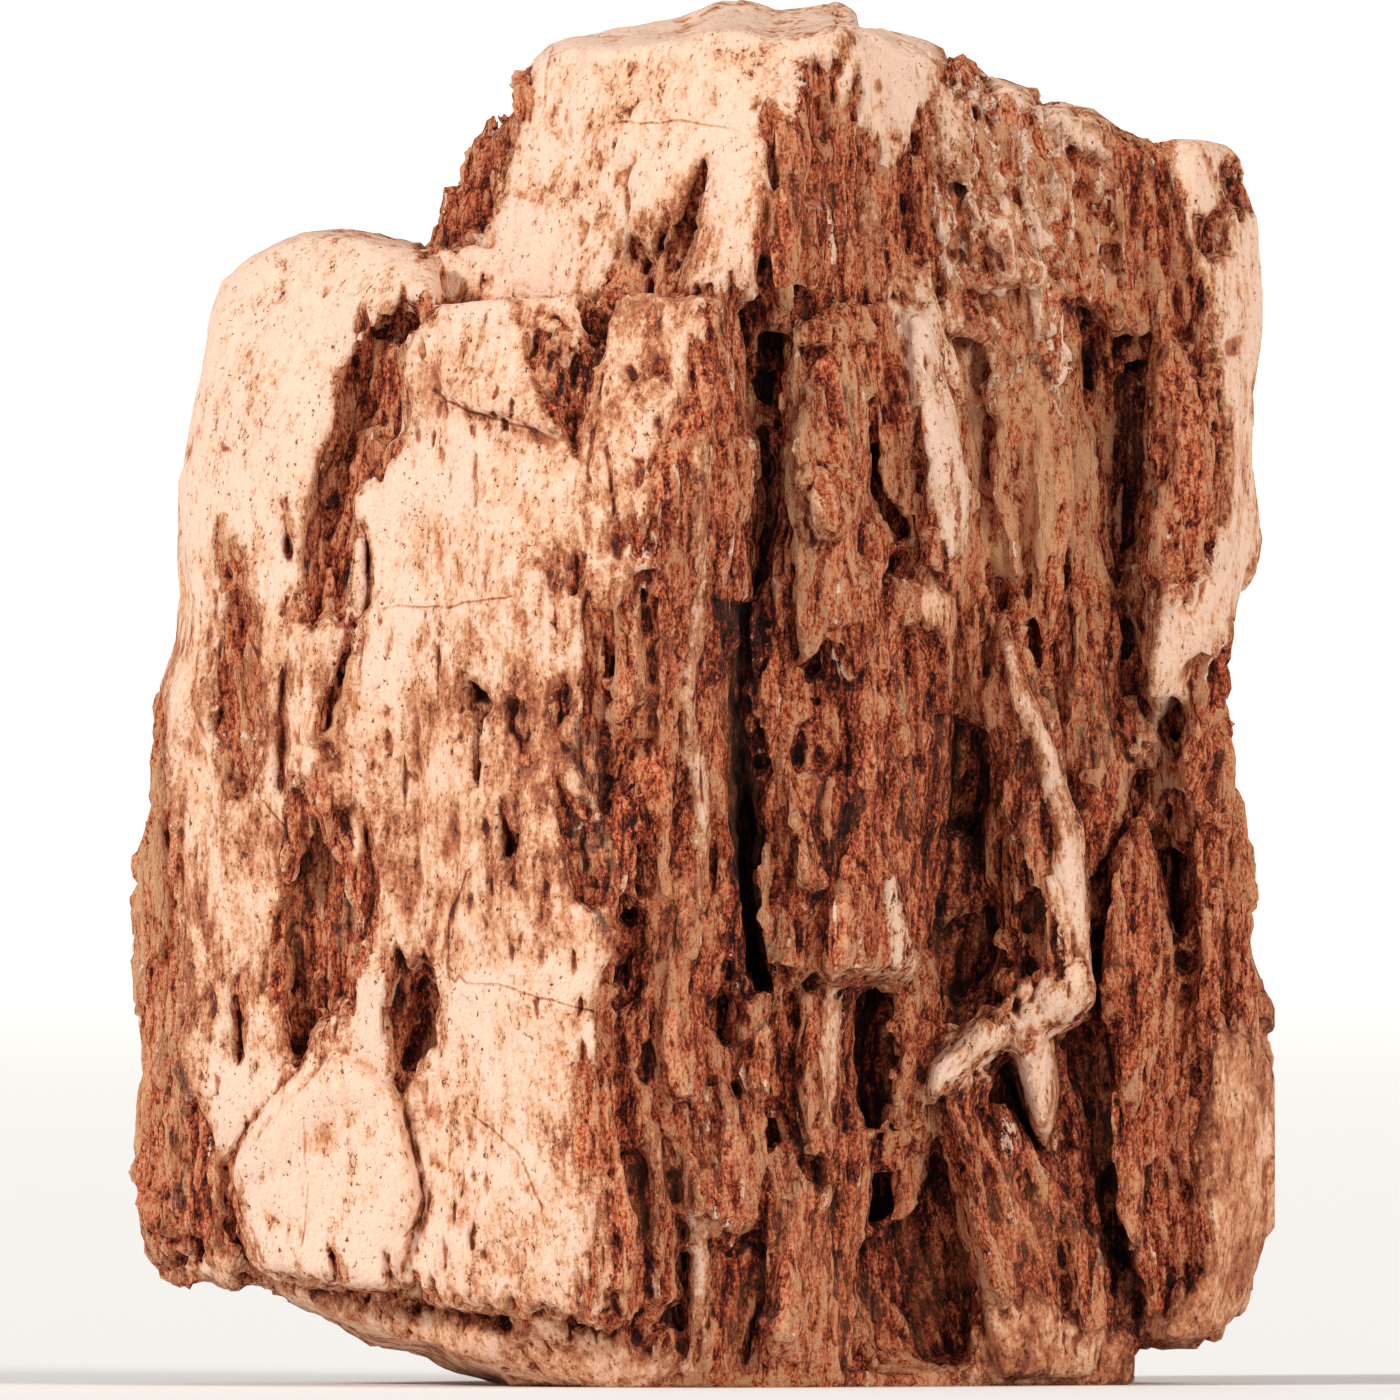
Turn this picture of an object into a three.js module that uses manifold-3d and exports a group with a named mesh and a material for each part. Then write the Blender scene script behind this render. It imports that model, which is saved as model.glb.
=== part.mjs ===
// A canyon rock: one weathered, splintery stone with a pale crust, as laid in aquariums and terrariums.
// Millimetres, +Z up, the origin under the middle of the stone on the plane it stands on.
// The front looks towards -Y. Its left half is a smooth pale crust with slots in it, and its right half
// is a mass of upright splinters and ledges. The two halves meet at an upright ridge.
import * as THREE from "three";
import { ConvexGeometry } from "three/addons/geometries/ConvexGeometry.js";
import { mergeVertices } from "three/addons/utils/BufferGeometryUtils.js";
import Module from "manifold-3d";

const wasm = await Module();
wasm.setup();

// Driving dimensions
const HEIGHT = 140;
const BURIED = 3.5; // how far a raised piece is let into the face that carries it
const CLEAR_OF_FACE = 5; // how far a cutter starts outside the face that it cuts
const PLATE_BEVEL = 0.9; // how far a plate's broken edge slopes back
const SLOT_SLOPE = 1; // how far a slot narrows towards its floor
const SLOT_END_SHARE = 0.5; // the share of a slot's depth that is left at its ends
const SPLINTER_STATIONS = [[0, 0.2, 0.1], [0.35, 0.9, 0.85], [0.8, 1, 1], [1, 0.3, 0.4]]; // along, width, height

// The front is drawn in pixels of the reference photograph, 1400 by 1400 with Y down.
const TOP_PX = 5;
const BASE_PX = 1386;
const MIDDLE_PX = 702.5;
const MM_PER_PX = HEIGHT / (BASE_PX - TOP_PX);
const acrossFromPx = (px) => (px - MIDDLE_PX) * MM_PER_PX;
const upFromPx = (py) => (BASE_PX - py) * MM_PER_PX;

// The outline of the stone as seen from the front, clockwise from the left block's top.
const OUTLINE_PX = [
  [342, 230], [300, 235], [250, 258], [222, 280], [208, 315], [199, 372], [192, 402],
  [184, 455], [174, 482], [177, 555], [182, 595], [177, 645], [161, 698], [160, 770],
  [151, 832], [131, 895], [131, 912], [139, 936], [138, 1000], [133, 1105], [134, 1165],
  [150, 1222], [163, 1272], [205, 1279], [231, 1297], [240, 1285], [259, 1285], [346, 1333],
  [366, 1346], [425, 1354], [452, 1371], [500, 1388], [500, 1570], [1135, 1570], [1136, 1356],
  [1152, 1346], [1210, 1346], [1250, 1310], [1268, 1240], [1266, 1150], [1272, 1068],
  [1266, 1015], [1248, 960], [1244, 850], [1231, 700], [1237, 610], [1262, 562], [1264, 520],
  [1254, 455], [1254, 385], [1267, 325], [1262, 198], [1238, 152], [1200, 141],
  [1147, 144], [1098, 113], [1060, 103], [1038, 106], [1028, 91], [988, 76],
  [968, 52], [890, 18], [872, 9], [830, 4], [775, 13], [745, 5], [712, 6], [684, 18],
  [596, 27], [560, 29], [536, 49], [520, 74], [499, 88], [487, 112], [453, 148],
  [457, 181], [434, 182], [432, 205], [425, 243], [385, 237],
];

// The outline is full size at the rim and smaller in front of it and behind it: depth in mm, the share by
// which every corner is drawn in towards the middle, and how much more a corner may be drawn in by chance.
const OUTLINE_RINGS = [
  { depth: 50, drawnIn: 0.17, uneven: 0.07 },
  { depth: 4, drawnIn: 0, uneven: 0 },
  { depth: -62, drawnIn: 0.1, uneven: 0 },
];
const DRAW_IN_PY = 860;

// The blocks that the stone has split into, each the hull of its corners: pixel across, pixel down, depth in mm.
const BLOCKS = {
  core: [
    [200, 860, 0], [190, 1060, 0], [225, 1260, -2], [262, 1290, -7], [450, 1345, -20],
    [520, 1392, -16], [640, 1392, -26], [770, 1392, -25], [900, 1392, -17], [1128, 1392, -3],
    [606, 1310, -29], [612, 1000, -31], [620, 740, -31], [665, 560, -30], [740, 300, -24],
    [235, 345, 3], [215, 600, 2], [1160, 300, 2], [1210, 550, 7], [1210, 900, 8],
    [1220, 1100, 9], [1210, 1310, 8], [1128, 1392, 20], [1170, 1280, 25], [1205, 700, 22],
    [1190, 370, 22], [980, 350, 29], [960, 1392, 31], [700, 330, 32], [680, 1392, 33],
    [480, 1392, 22], [330, 330, 26], [255, 700, 28], [235, 1270, 20], [390, 1345, 27],
    [346, 1338, 5], [290, 1310, 5], [440, 1370, 5], [495, 1394, 4],
  ],
  left_block: [
    [224, 280, 0], [206, 330, -4], [194, 400, -6], [176, 480, -5], [180, 600, -6], [165, 700, -6],
    [166, 760, -7], [178, 880, -9], [180, 1060, -10], [186, 1235, -8], [262, 1272, -15],
    [300, 233, -4], [345, 229, -7], [430, 243, -10], [432, 300, -22], [432, 600, -26],
    [432, 1000, -26], [432, 1290, -25], [290, 420, -17], [290, 640, -19.5], [290, 900, -20],
    [310, 1180, -21], [232, 560, -13.5], [228, 860, -15], [262, 310, 18], [245, 480, 20],
    [240, 900, 20], [345, 250, 16], [430, 255, 16], [218, 284, 5], [194, 380, 5],
    [171, 480, 5], [174, 620, 5], [158, 720, 5], [300, 230, 4], [345, 225, 4],
  ],
  left_flank: [
    [152, 832, -1], [134, 880, 3], [128, 905, 4], [138, 940, 2], [132, 1100, 2], [132, 1160, 3],
    [140, 1205, 4], [156, 1250, 6], [192, 1245, -7], [180, 850, -9], [176, 1050, -10],
    [195, 850, 15], [185, 1150, 16], [210, 1250, 14], [235, 1290, 4],
  ],
  left_corner_foot: [
    [156, 1225, 2], [205, 1200, -7], [240, 1235, -11], [231, 1296, -2], [163, 1272, 8],
    [205, 1280, 14], [262, 1287, 4], [230, 1200, 10],
  ],
  middle_slab: [
    [425, 312, -21], [500, 300, -25], [598, 322, -29], [690, 296, -33.5], [722, 298, -33.5],
    [714, 360, -35.5], [660, 520, -37], [606, 640, -37.5], [592, 740, -38], [616, 880, -37.5],
    [606, 1000, -37.5], [588, 1200, -36.5], [596, 1312, -35], [425, 1295, -25], [425, 700, -27],
    [510, 560, -34], [515, 900, -35], [505, 1180, -33], [455, 420, -26],
    [730, 330, -20], [640, 1330, -20], [450, 320, -8], [450, 1320, -8],
  ],
  saddle: [
    [425, 245, -9], [500, 268, -14], [600, 288, -20], [735, 290, -27], [425, 330, -12],
    [735, 330, -26], [430, 248, 14], [700, 290, 16],
  ],
  tower: [
    [500, 95, -2], [522, 78, -7], [548, 42, -9], [600, 24, -13], [690, 10, -18], [760, 6, -20],
    [840, 1, -21], [862, 60, -22], [765, 150, -28.5], [752, 230, -30.5], [748, 300, -31],
    [600, 300, -22], [520, 300, -17], [500, 240, -13], [480, 160, -8], [610, 140, -19],
    [560, 60, 16], [760, 1, 5], [850, 1, 5], [750, 40, 18], [860, 55, 16], [690, 8, 2],
    [880, 300, -16], [560, 330, 25], [880, 330, 25], [620, 60, 22], [760, 60, 26],
  ],
  tower_left_knobs: [
    [498, 86, -2], [478, 112, -2], [453, 140, 1], [453, 168, 0], [462, 235, -7], [510, 240, -12],
    [520, 120, -8], [480, 120, 14], [458, 180, 15], [500, 240, 16], [455, 300, -4],
    [530, 300, -12], [500, 300, 14],
  ],
  tower_left_tab: [
    [433, 180, 4], [456, 180, 2], [424, 243, 2], [424, 290, 4], [470, 270, -6], [470, 190, -3],
    [436, 190, 14], [426, 260, 15], [470, 230, 16],
  ],
  shoulder: [
    [845, 2, -18], [900, 20, -16], [950, 42, -13], [975, 58, -10.5], [990, 76, -11.5],
    [1030, 90, -8], [1040, 104, -9], [1098, 112, -5], [1112, 128, -5], [1150, 143, -2],
    [775, 150, -25], [765, 330, -26], [940, 330, -16], [1060, 330, -8], [1150, 330, -3],
    [930, 60, 12], [1040, 110, 15], [1150, 145, 16], [780, 330, 30], [1150, 330, 24],
  ],
  ridge_column: [
    [724, 296, -32], [665, 500, -35.5], [640, 560, -36], [612, 740, -37], [612, 1000, -37.5],
    [595, 1312, -35], [728, 420, -29.5], [742, 600, -27], [738, 760, -27], [730, 960, -27.5],
    [704, 1100, -29], [650, 1330, -30.5], [700, 300, -12], [700, 1320, -12], [620, 1320, -12],
  ],
  middle_column: [
    [775, 335, -25.5], [850, 308, -22.5], [932, 302, -17], [962, 400, -15.5], [978, 500, -13.5],
    [962, 592, -13.5], [930, 700, -15.5], [926, 950, -18], [905, 970, -19.5], [828, 976, -25.5],
    [768, 962, -26.5], [752, 890, -27], [770, 700, -27.5], [788, 500, -27.5], [845, 780, -26.5],
    [860, 560, -24.5], [780, 340, -10], [930, 320, -6], [770, 1000, -10], [910, 1010, -8],
  ],
  shoulder_rib: [
    [1000, 215, -12], [1045, 190, -11], [1050, 300, -11], [1068, 560, -9], [1062, 650, -8],
    [1020, 610, -9.5], [988, 450, -12], [978, 300, -13], [1010, 200, 0], [1020, 650, 2],
  ],
  flap_column: [
    [985, 600, -12], [1015, 625, -12.5], [1052, 730, -12], [1080, 840, -11], [1092, 1000, -10],
    [1078, 1022, -10], [1002, 1046, -14.5], [985, 1010, -14.5], [1000, 900, -15.5], [990, 700, -14],
    [1040, 860, -15], [1000, 620, 2], [1070, 1010, 4], [1000, 1020, 2],
  ],
  low_splinters: [
    [612, 1000, -32], [700, 985, -29], [830, 985, -22], [868, 1134, -20], [862, 1240, -19.5],
    [818, 1345, -20.5], [720, 1360, -25], [625, 1335, -29], [735, 1180, -28.5], [640, 1010, -12],
    [830, 1000, -6], [640, 1370, -12], [830, 1370, -6],
  ],
  low_rib: [
    [944, 1086, -16.5], [986, 1072, -15], [1020, 1130, -13.5], [1068, 1190, -11], [1096, 1260, -8.5],
    [1094, 1375, -7.5], [1000, 1375, -13], [984, 1290, -14.5], [960, 1180, -16.5], [960, 1100, 0],
    [1090, 1300, 2], [1000, 1380, 0],
  ],
  right_column: [
    [1152, 790, -5.5], [1186, 980, -3.5], [1190, 1080, -3.5], [1152, 1310, -5.5], [1122, 1235, -7.5],
    [1104, 1100, -8.5], [1100, 980, -8.5], [1116, 850, -7.5], [1145, 1040, -8.5], [1150, 800, 6],
    [1150, 1310, 6], [1120, 1040, 6],
  ],
  right_slab: [
    [1152, 142, 1], [1200, 140, 0], [1238, 150, 5], [1262, 198, 8], [1268, 322, 8], [1255, 400, 7],
    [1266, 530, 8], [1250, 590, 8], [1175, 200, -3], [1195, 320, -5], [1215, 560, -5],
    [1160, 600, -6], [1150, 700, -9], [1225, 700, 3], [1165, 160, 12], [1215, 180, 14],
    [1225, 330, 17], [1222, 560, 18],
  ],
  right_lower: [
    [1205, 640, -1], [1234, 660, 3], [1244, 800, 5], [1246, 940, 5], [1272, 1030, 6],
    [1275, 1080, 6], [1268, 1240, 7], [1252, 1310, 7], [1210, 1350, 3], [1150, 1350, -2],
    [1200, 1020, -4], [1200, 1260, -4], [1200, 800, -5], [1222, 1060, 20], [1205, 1310, 18],
    [1212, 800, 20], [1160, 1345, 18],
  ],
  back_left: [
    [240, 420, 12], [258, 390, 22], [335, 280, 22], [410, 300, 28], [455, 480, 33], [450, 900, 36],
    [430, 1310, 33], [310, 1285, 24], [262, 1240, 18], [228, 900, 18], [222, 700, 16],
    [330, 700, 34], [330, 1050, 34], [300, 500, 10], [300, 1200, 8],
  ],
  back_middle: [
    [470, 330, 26], [570, 150, 24], [700, 95, 26], [748, 200, 33], [735, 420, 40], [752, 800, 42],
    [730, 1200, 41], [700, 1392, 36], [520, 1392, 30], [470, 1200, 34], [462, 760, 38],
    [590, 620, 43], [610, 1000, 43], [560, 300, 5], [600, 1350, 5],
  ],
  back_inner: [
    [770, 200, 28], [870, 120, 22], [990, 200, 26], [1010, 480, 32], [985, 900, 34],
    [1000, 1270, 32], [960, 1392, 28], [780, 1392, 32], [765, 1000, 36], [775, 520, 35],
    [880, 700, 38], [880, 1150, 37], [850, 300, 5], [880, 1350, 5],
  ],
  back_right: [
    [1010, 210, 20], [1120, 190, 17], [1190, 270, 18], [1205, 500, 20], [1195, 760, 22],
    [1205, 1080, 22], [1175, 1300, 20], [1090, 1392, 22], [1015, 1330, 27], [1008, 900, 29],
    [1030, 520, 28], [1120, 620, 29], [1110, 1080, 30], [1080, 300, 2], [1100, 1300, 4],
  ],
};

// Slots, hollows and gaps cut into the front: outline in pixels, greatest depth in mm.
const FRONT_CUTS = [
  // the long forked slot between the left block and the middle slab
  { depth: 9, outline: [[385, 305], [414, 314], [397, 395], [404, 425], [374, 488], [376, 428], [362, 430],
    [350, 515], [322, 622], [303, 618], [320, 575], [312, 472], [332, 447], [346, 362]] },
  // the slots in the left block
  { depth: 7, outline: [[230, 543], [251, 560], [252, 640], [264, 710], [250, 782], [234, 797], [227, 740],
    [213, 700], [226, 620], [213, 570]] },
  { depth: 4, outline: [[287, 505], [302, 600], [296, 625], [273, 636], [285, 580]] },
  { depth: 5, outline: [[346, 622], [361, 636], [354, 675], [326, 735], [318, 710], [339, 650]] },
  // the cave in the left block
  { depth: 12, outline: [[302, 772], [320, 776], [345, 850], [359, 930], [352, 994], [317, 1034], [304, 1058],
    [290, 1050], [284, 890], [298, 850]] },
  { depth: 6, outline: [[250, 958], [256, 1000], [252, 1062], [238, 1078], [226, 1045]] },
  // the rusty gutters to the right of the cave
  { depth: 4.5, outline: [[418, 952], [441, 986], [438, 1052], [398, 1086], [384, 1066], [412, 1000]] },
  // the crack that frees the lowest plate
  { depth: 5.5, outline: [[284, 1085], [242, 1148], [233, 1188], [264, 1272], [248, 1275], [214, 1210],
    [222, 1150], [268, 1085]] },
  // hollows beside the ridge
  { depth: 5, outline: [[500, 803], [516, 806], [527, 838], [503, 888], [492, 860]] },
  { depth: 4, outline: [[553, 792], [612, 830], [600, 900], [590, 930], [566, 850]] },
  // slots in the tower's pale face
  { depth: 6.5, outline: [[698, 158], [709, 178], [694, 252], [682, 300], [653, 298], [668, 238]] },
  { depth: 6, outline: [[612, 246], [632, 240], [616, 296], [600, 338], [570, 330], [600, 280]] },
  // cracks in the pale cap and the dark pockets under it
  { depth: 6, outline: [[822, 58], [834, 66], [834, 138], [806, 142], [803, 85]] },
  { depth: 4.5, outline: [[930, 62], [964, 60], [958, 86], [938, 92]] },
  // the deep channels near the right slab
  { depth: 8, outline: [[1088, 292], [1112, 290], [1110, 400], [1088, 405], [1070, 370]] },
  { depth: 8, outline: [[1122, 350], [1150, 352], [1162, 445], [1176, 475], [1142, 570], [1136, 622], [1112, 640],
    [1104, 480]] },
  { depth: 6, outline: [[1110, 645], [1140, 630], [1148, 680], [1118, 826], [1104, 815], [1106, 720]] },
  { depth: 4.5, outline: [[1146, 146], [1166, 150], [1204, 372], [1160, 345], [1148, 250]] },
  { depth: 5, outline: [[1190, 690], [1200, 730], [1176, 800], [1156, 785], [1158, 730]] },
  { depth: 6, outline: [[1160, 800], [1186, 920], [1208, 1060], [1204, 1262], [1186, 1255], [1188, 1040],
    [1160, 880]] },
  // the long chasm down the middle of the splinters
  { depth: 8.5, outline: [[764, 425], [778, 460], [750, 600], [750, 720], [766, 830], [752, 900], [776, 985],
    [752, 1010], [736, 960], [728, 860], [737, 766], [730, 690], [744, 545]] },
  { depth: 5.5, outline: [[862, 400], [884, 440], [906, 530], [890, 565], [862, 520]] },
  { depth: 6.5, outline: [[626, 868], [652, 930], [646, 1000], [622, 1002], [610, 950]] },
  { depth: 7, outline: [[706, 968], [732, 962], [748, 1020], [748, 1102], [728, 1098], [704, 1060]] },
  { depth: 6.5, outline: [[756, 1108], [780, 1120], [758, 1210], [746, 1196]] },
  { depth: 5, outline: [[664, 1205], [702, 1250], [692, 1345], [622, 1345], [660, 1290]] },
  // the pockets under the ledges
  { depth: 8, outline: [[842, 976], [888, 976], [896, 1040], [884, 1120], [862, 1140], [836, 1050]] },
  { depth: 8, outline: [[868, 1142], [896, 1135], [900, 1205], [874, 1240], [856, 1232]] },
  { depth: 5, outline: [[850, 1240], [905, 1205], [940, 1100], [956, 1180], [982, 1290], [978, 1376],
    [838, 1378]] },
  { depth: 6.5, outline: [[945, 690], [998, 700], [1000, 800], [984, 850], [940, 840]] },
  { depth: 6.5, outline: [[920, 870], [1000, 880], [1015, 950], [960, 1040], [938, 1040]] },
  { depth: 6.5, outline: [[985, 1062], [1008, 1050], [1046, 1146], [1098, 1240], [1078, 1236], [1030, 1160]] },
];

// Plates and ledges that stand proud of the front: outline in pixels, height in mm at the lower end, and
// the share of that height which is left at the upper end.
const FRONT_PLATES = [
  // left face
  { height: 2.6, upper: 0.1, outline: [[428, 312], [500, 302], [520, 326], [582, 334], [600, 352], [588, 402],
    [566, 442], [516, 430], [442, 404], [432, 372]] },
  { height: 2.4, upper: 0.8, outline: [[330, 1046], [398, 1086], [424, 1196], [396, 1292], [262, 1272],
    [234, 1190], [234, 1156], [300, 1086]] },
  { height: 1.8, upper: 0.6, outline: [[346, 832], [362, 960], [354, 1000], [318, 1034], [350, 980], [342, 860]] },
  { height: 1.5, upper: 0.6, outline: [[300, 620], [335, 612], [328, 690], [318, 740], [362, 800], [330, 815],
    [302, 768]] },
  // the ridge's rim
  { height: 1.6, upper: 0.8, outline: [[614, 815], [628, 880], [604, 985], [608, 900]] },
  // under the crest
  { height: 3, upper: 0.3, outline: [[752, 185], [792, 165], [838, 205], [842, 262], [826, 296], [764, 300]] },
  { height: 2.6, upper: 0.4, outline: [[770, 322], [840, 298], [892, 308], [884, 344], [800, 352]] },
  { height: 3, upper: 0.2, outline: [[936, 100], [1000, 150], [1048, 285], [1000, 285], [935, 160]] },
  // the upper shield and the plate that catches the light
  { height: 3.2, upper: 0.3, outline: [[808, 356], [846, 336], [864, 376], [858, 440], [846, 520], [812, 548],
    [790, 430]] },
  { height: 3, upper: 0.4, outline: [[706, 445], [760, 430], [760, 490], [732, 560], [712, 520]] },
  { height: 3.6, upper: 0.7, outline: [[896, 306], [934, 304], [942, 350], [962, 440], [976, 490], [962, 590],
    [916, 572], [906, 540], [918, 470]] },
  // the middle splinters and the ledge below them
  { height: 3.4, upper: 0.2, outline: [[782, 738], [800, 756], [804, 822], [814, 886], [788, 868]] },
  { height: 4.2, upper: 0.2, outline: [[866, 790], [886, 850], [906, 880], [908, 930], [926, 956], [900, 972],
    [828, 976], [816, 940], [822, 880]] },
  { height: 2.6, upper: 0.2, outline: [[852, 620], [905, 640], [915, 740], [880, 790], [858, 750]] },
  { height: 3, upper: 0.4, outline: [[792, 985], [826, 978], [830, 1100], [804, 1148], [786, 1080]] },
  { height: 3, upper: 0.4, outline: [[738, 975], [752, 985], [766, 1104], [748, 1080]] },
  { height: 2.4, upper: 0.3, outline: [[758, 1160], [808, 1150], [806, 1300], [786, 1345], [750, 1318]] },
  { height: 2.6, upper: 0.4, outline: [[828, 1100], [868, 1134], [860, 1240], [838, 1250], [822, 1340],
    [812, 1200]] },
  { height: 2.2, upper: 0.3, outline: [[600, 1100], [632, 1090], [650, 1290], [602, 1310]] },
  { height: 2.4, upper: 0.3, outline: [[655, 1000], [700, 990], [700, 1090], [676, 1104]] },
  // the flap with the pale rim, its tooth, and the rib below
  { height: 4.4, upper: 0.35, outline: [[985, 596], [1012, 626], [1052, 730], [1056, 790], [1080, 838],
    [1094, 1000], [1078, 1022], [1002, 1050], [922, 1108], [930, 1064], [1012, 980], [1034, 950], [1004, 800],
    [1002, 690]] },
  { height: 6.5, upper: 0.9, outline: [[1012, 1040], [1052, 1026], [1054, 1100], [1046, 1142], [1034, 1134]] },
  // upright ribs on the right
  { height: 2.4, upper: 0.5, outline: [[1110, 150], [1140, 150], [1142, 250], [1128, 340], [1112, 300]] },
  { height: 3, upper: 0.5, outline: [[1158, 352], [1205, 376], [1222, 430], [1216, 560], [1160, 580],
    [1180, 470]] },
  { height: 2.4, upper: 0.4, outline: [[1206, 640], [1230, 650], [1222, 900], [1236, 990], [1212, 1020],
    [1200, 930]] },
  { height: 2.2, upper: 0.8, outline: [[1206, 1022], [1262, 1040], [1266, 1200], [1250, 1300], [1210, 1340],
    [1150, 1345], [1200, 1270]] },
  { height: 2.2, upper: 0.8, outline: [[1200, 360], [1246, 350], [1250, 500], [1230, 650], [1190, 660],
    [1150, 740], [1160, 590], [1220, 560]] },
  { height: 1.8, upper: 0.9, outline: [[1170, 145], [1234, 148], [1252, 190], [1256, 330], [1210, 350]] },
];

// Single splinters on the front: top and bottom in pixels, width in pixels, height in mm.
const FRONT_SPLINTERS = [
  [728, 310, 736, 420, 22, 2.4], [715, 600, 726, 720, 20, 2.4], [716, 745, 728, 870, 18, 2.8],
  [640, 480, 650, 590, 22, 2.2], [612, 610, 622, 720, 24, 2.2], [640, 760, 650, 850, 26, 2.4],
  [682, 860, 690, 960, 20, 2.6], [800, 620, 806, 740, 20, 2.6], [828, 620, 842, 740, 22, 2.6],
  [1040, 640, 1058, 780, 22, 2.4], [1074, 650, 1090, 800, 24, 2.8], [1090, 830, 1100, 960, 22, 2.6],
  [1066, 1040, 1080, 1160, 24, 2.6], [690, 1100, 698, 1220, 16, 2.4], [900, 985, 912, 1080, 24, 2.8],
];

// The other faces are drawn in millimetres: across and up as one looks at that face.
const FACES = {
  front: { right: [1, 0, 0], up: [0, 0, 1], outward: [0, -1, 0] },
  left: { right: [0, -1, 0], up: [0, 0, 1], outward: [-1, 0, 0] },
  right: { right: [0, 1, 0], up: [0, 0, 1], outward: [1, 0, 0] },
  back: { right: [-1, 0, 0], up: [0, 0, 1], outward: [0, 1, 0] },
};

// Larger forms on the faces that the front doesn't show.
const HIDDEN_PLATES = [
  { face: "back", height: 3.4, upper: 0.2, outline: [[-38, 14], [-26, 10], [-22, 44], [-26, 66], [-36, 60]] },
  { face: "back", height: 3.6, upper: 0.3, outline: [[-8, 44], [4, 38], [9, 70], [2, 96], [-6, 84]] },
  { face: "back", height: 3, upper: 0.2, outline: [[18, 16], [28, 12], [32, 48], [24, 60]] },
  { face: "back", height: 3, upper: 0.3, outline: [[24, 72], [38, 66], [40, 92], [30, 102]] },
  { face: "back", height: 3, upper: 0.3, outline: [[-26, 84], [-14, 80], [-12, 108], [-22, 114]] },
  { face: "left", height: 2.6, upper: 0.3, outline: [[-16, 34], [-8, 28], [-5, 66], [-12, 78]] },
  { face: "left", height: 2.2, upper: 0.4, outline: [[-4, 70], [3, 74], [2, 100], [-4, 98]] },
  { face: "right", height: 2.6, upper: 0.2, outline: [[10, 26], [18, 22], [21, 56], [14, 70]] },
  { face: "right", height: 2.2, upper: 0.3, outline: [[12, 88], [20, 84], [20, 112], [13, 114]] },
];
const HIDDEN_CUTS = [
  { face: "back", depth: 6, outline: [[-14, 20], [-10, 18], [-12, 60], [-9, 96], [-14, 98], [-17, 64]] },
  { face: "back", depth: 6, outline: [[8, 22], [12, 20], [14, 70], [11, 104], [7, 100], [9, 66]] },
  { face: "back", depth: 5, outline: [[-46, 30], [-42, 28], [-41, 70], [-45, 90], [-48, 66]] },
  { face: "back", depth: 4, outline: [[-30, 70], [-27, 68], [-28, 96], [-31, 92]] },
  { face: "left", depth: 5, outline: [[-13, 12], [-9, 14], [-6, 48], [-10, 56], [-14, 40]] },
  { face: "left", depth: 4, outline: [[-8, 74], [-5, 76], [-6, 98], [-9, 100]] },
  { face: "right", depth: 5, outline: [[3, 34], [7, 30], [9, 62], [6, 80], [2, 58]] },
  { face: "right", depth: 4, outline: [[9, 78], [12, 80], [11, 106], [8, 100]] },
];
// Splinters scattered over the hidden faces: how many, and the rectangle they lie in.
const HIDDEN_SPLINTERS = [
  { face: "back", count: 8, across: [-44, 44], up: [12, 112] },
  { face: "left", count: 3, across: [-20, 4], up: [16, 100] },
  { face: "right", count: 3, across: [4, 22], up: [14, 110] },
];
const SPLINTER_LENGTH = [16, 38];
const SPLINTER_WIDTH = [2.6, 5];
const SPLINTER_HEIGHT = [1.6, 3];

// Hollows in the underside, between the feet that the stone stands on: centre across and deep, radius, in mm.
const UNDERSIDE_HOLLOWS = [
  [12, -4, 7], [29, 8, 8], [-10, 8, 7],
];
const UNDERSIDE_HOLLOW_RISE = 1.6;

// A small repeatable random source, so that the scattered splinters are the same every time.
function randomSource(seed) {
  let state = seed;
  return (low, high) => {
    state = (state * 1664525 + 1013904223) % 4294967296;
    return low + (state / 4294967296) * (high - low);
  };
}

function solidFrom(geometry) {
  const bare = geometry.index ? geometry.toNonIndexed() : geometry.clone();
  bare.deleteAttribute("normal");
  bare.deleteAttribute("uv");
  const merged = mergeVertices(bare, 1e-4);
  return new wasm.Manifold(
    new wasm.Mesh({
      numProp: 3,
      vertProperties: new Float32Array(merged.attributes.position.array),
      triVerts: new Uint32Array(merged.index.array),
    }),
  );
}

function geometryFrom(solid) {
  const mesh = solid.getMesh();
  const positions = new Float32Array(mesh.numVert * 3);
  for (let i = 0; i < mesh.numVert; i++) {
    const at = i * mesh.numProp;
    positions.set(mesh.vertProperties.subarray(at, at + 3), i * 3);
  }
  const geometry = new THREE.BufferGeometry();
  geometry.setAttribute("position", new THREE.BufferAttribute(positions, 3));
  geometry.setIndex(new THREE.BufferAttribute(new Uint32Array(mesh.triVerts), 1));
  geometry.computeVertexNormals();
  return geometry;
}

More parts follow.
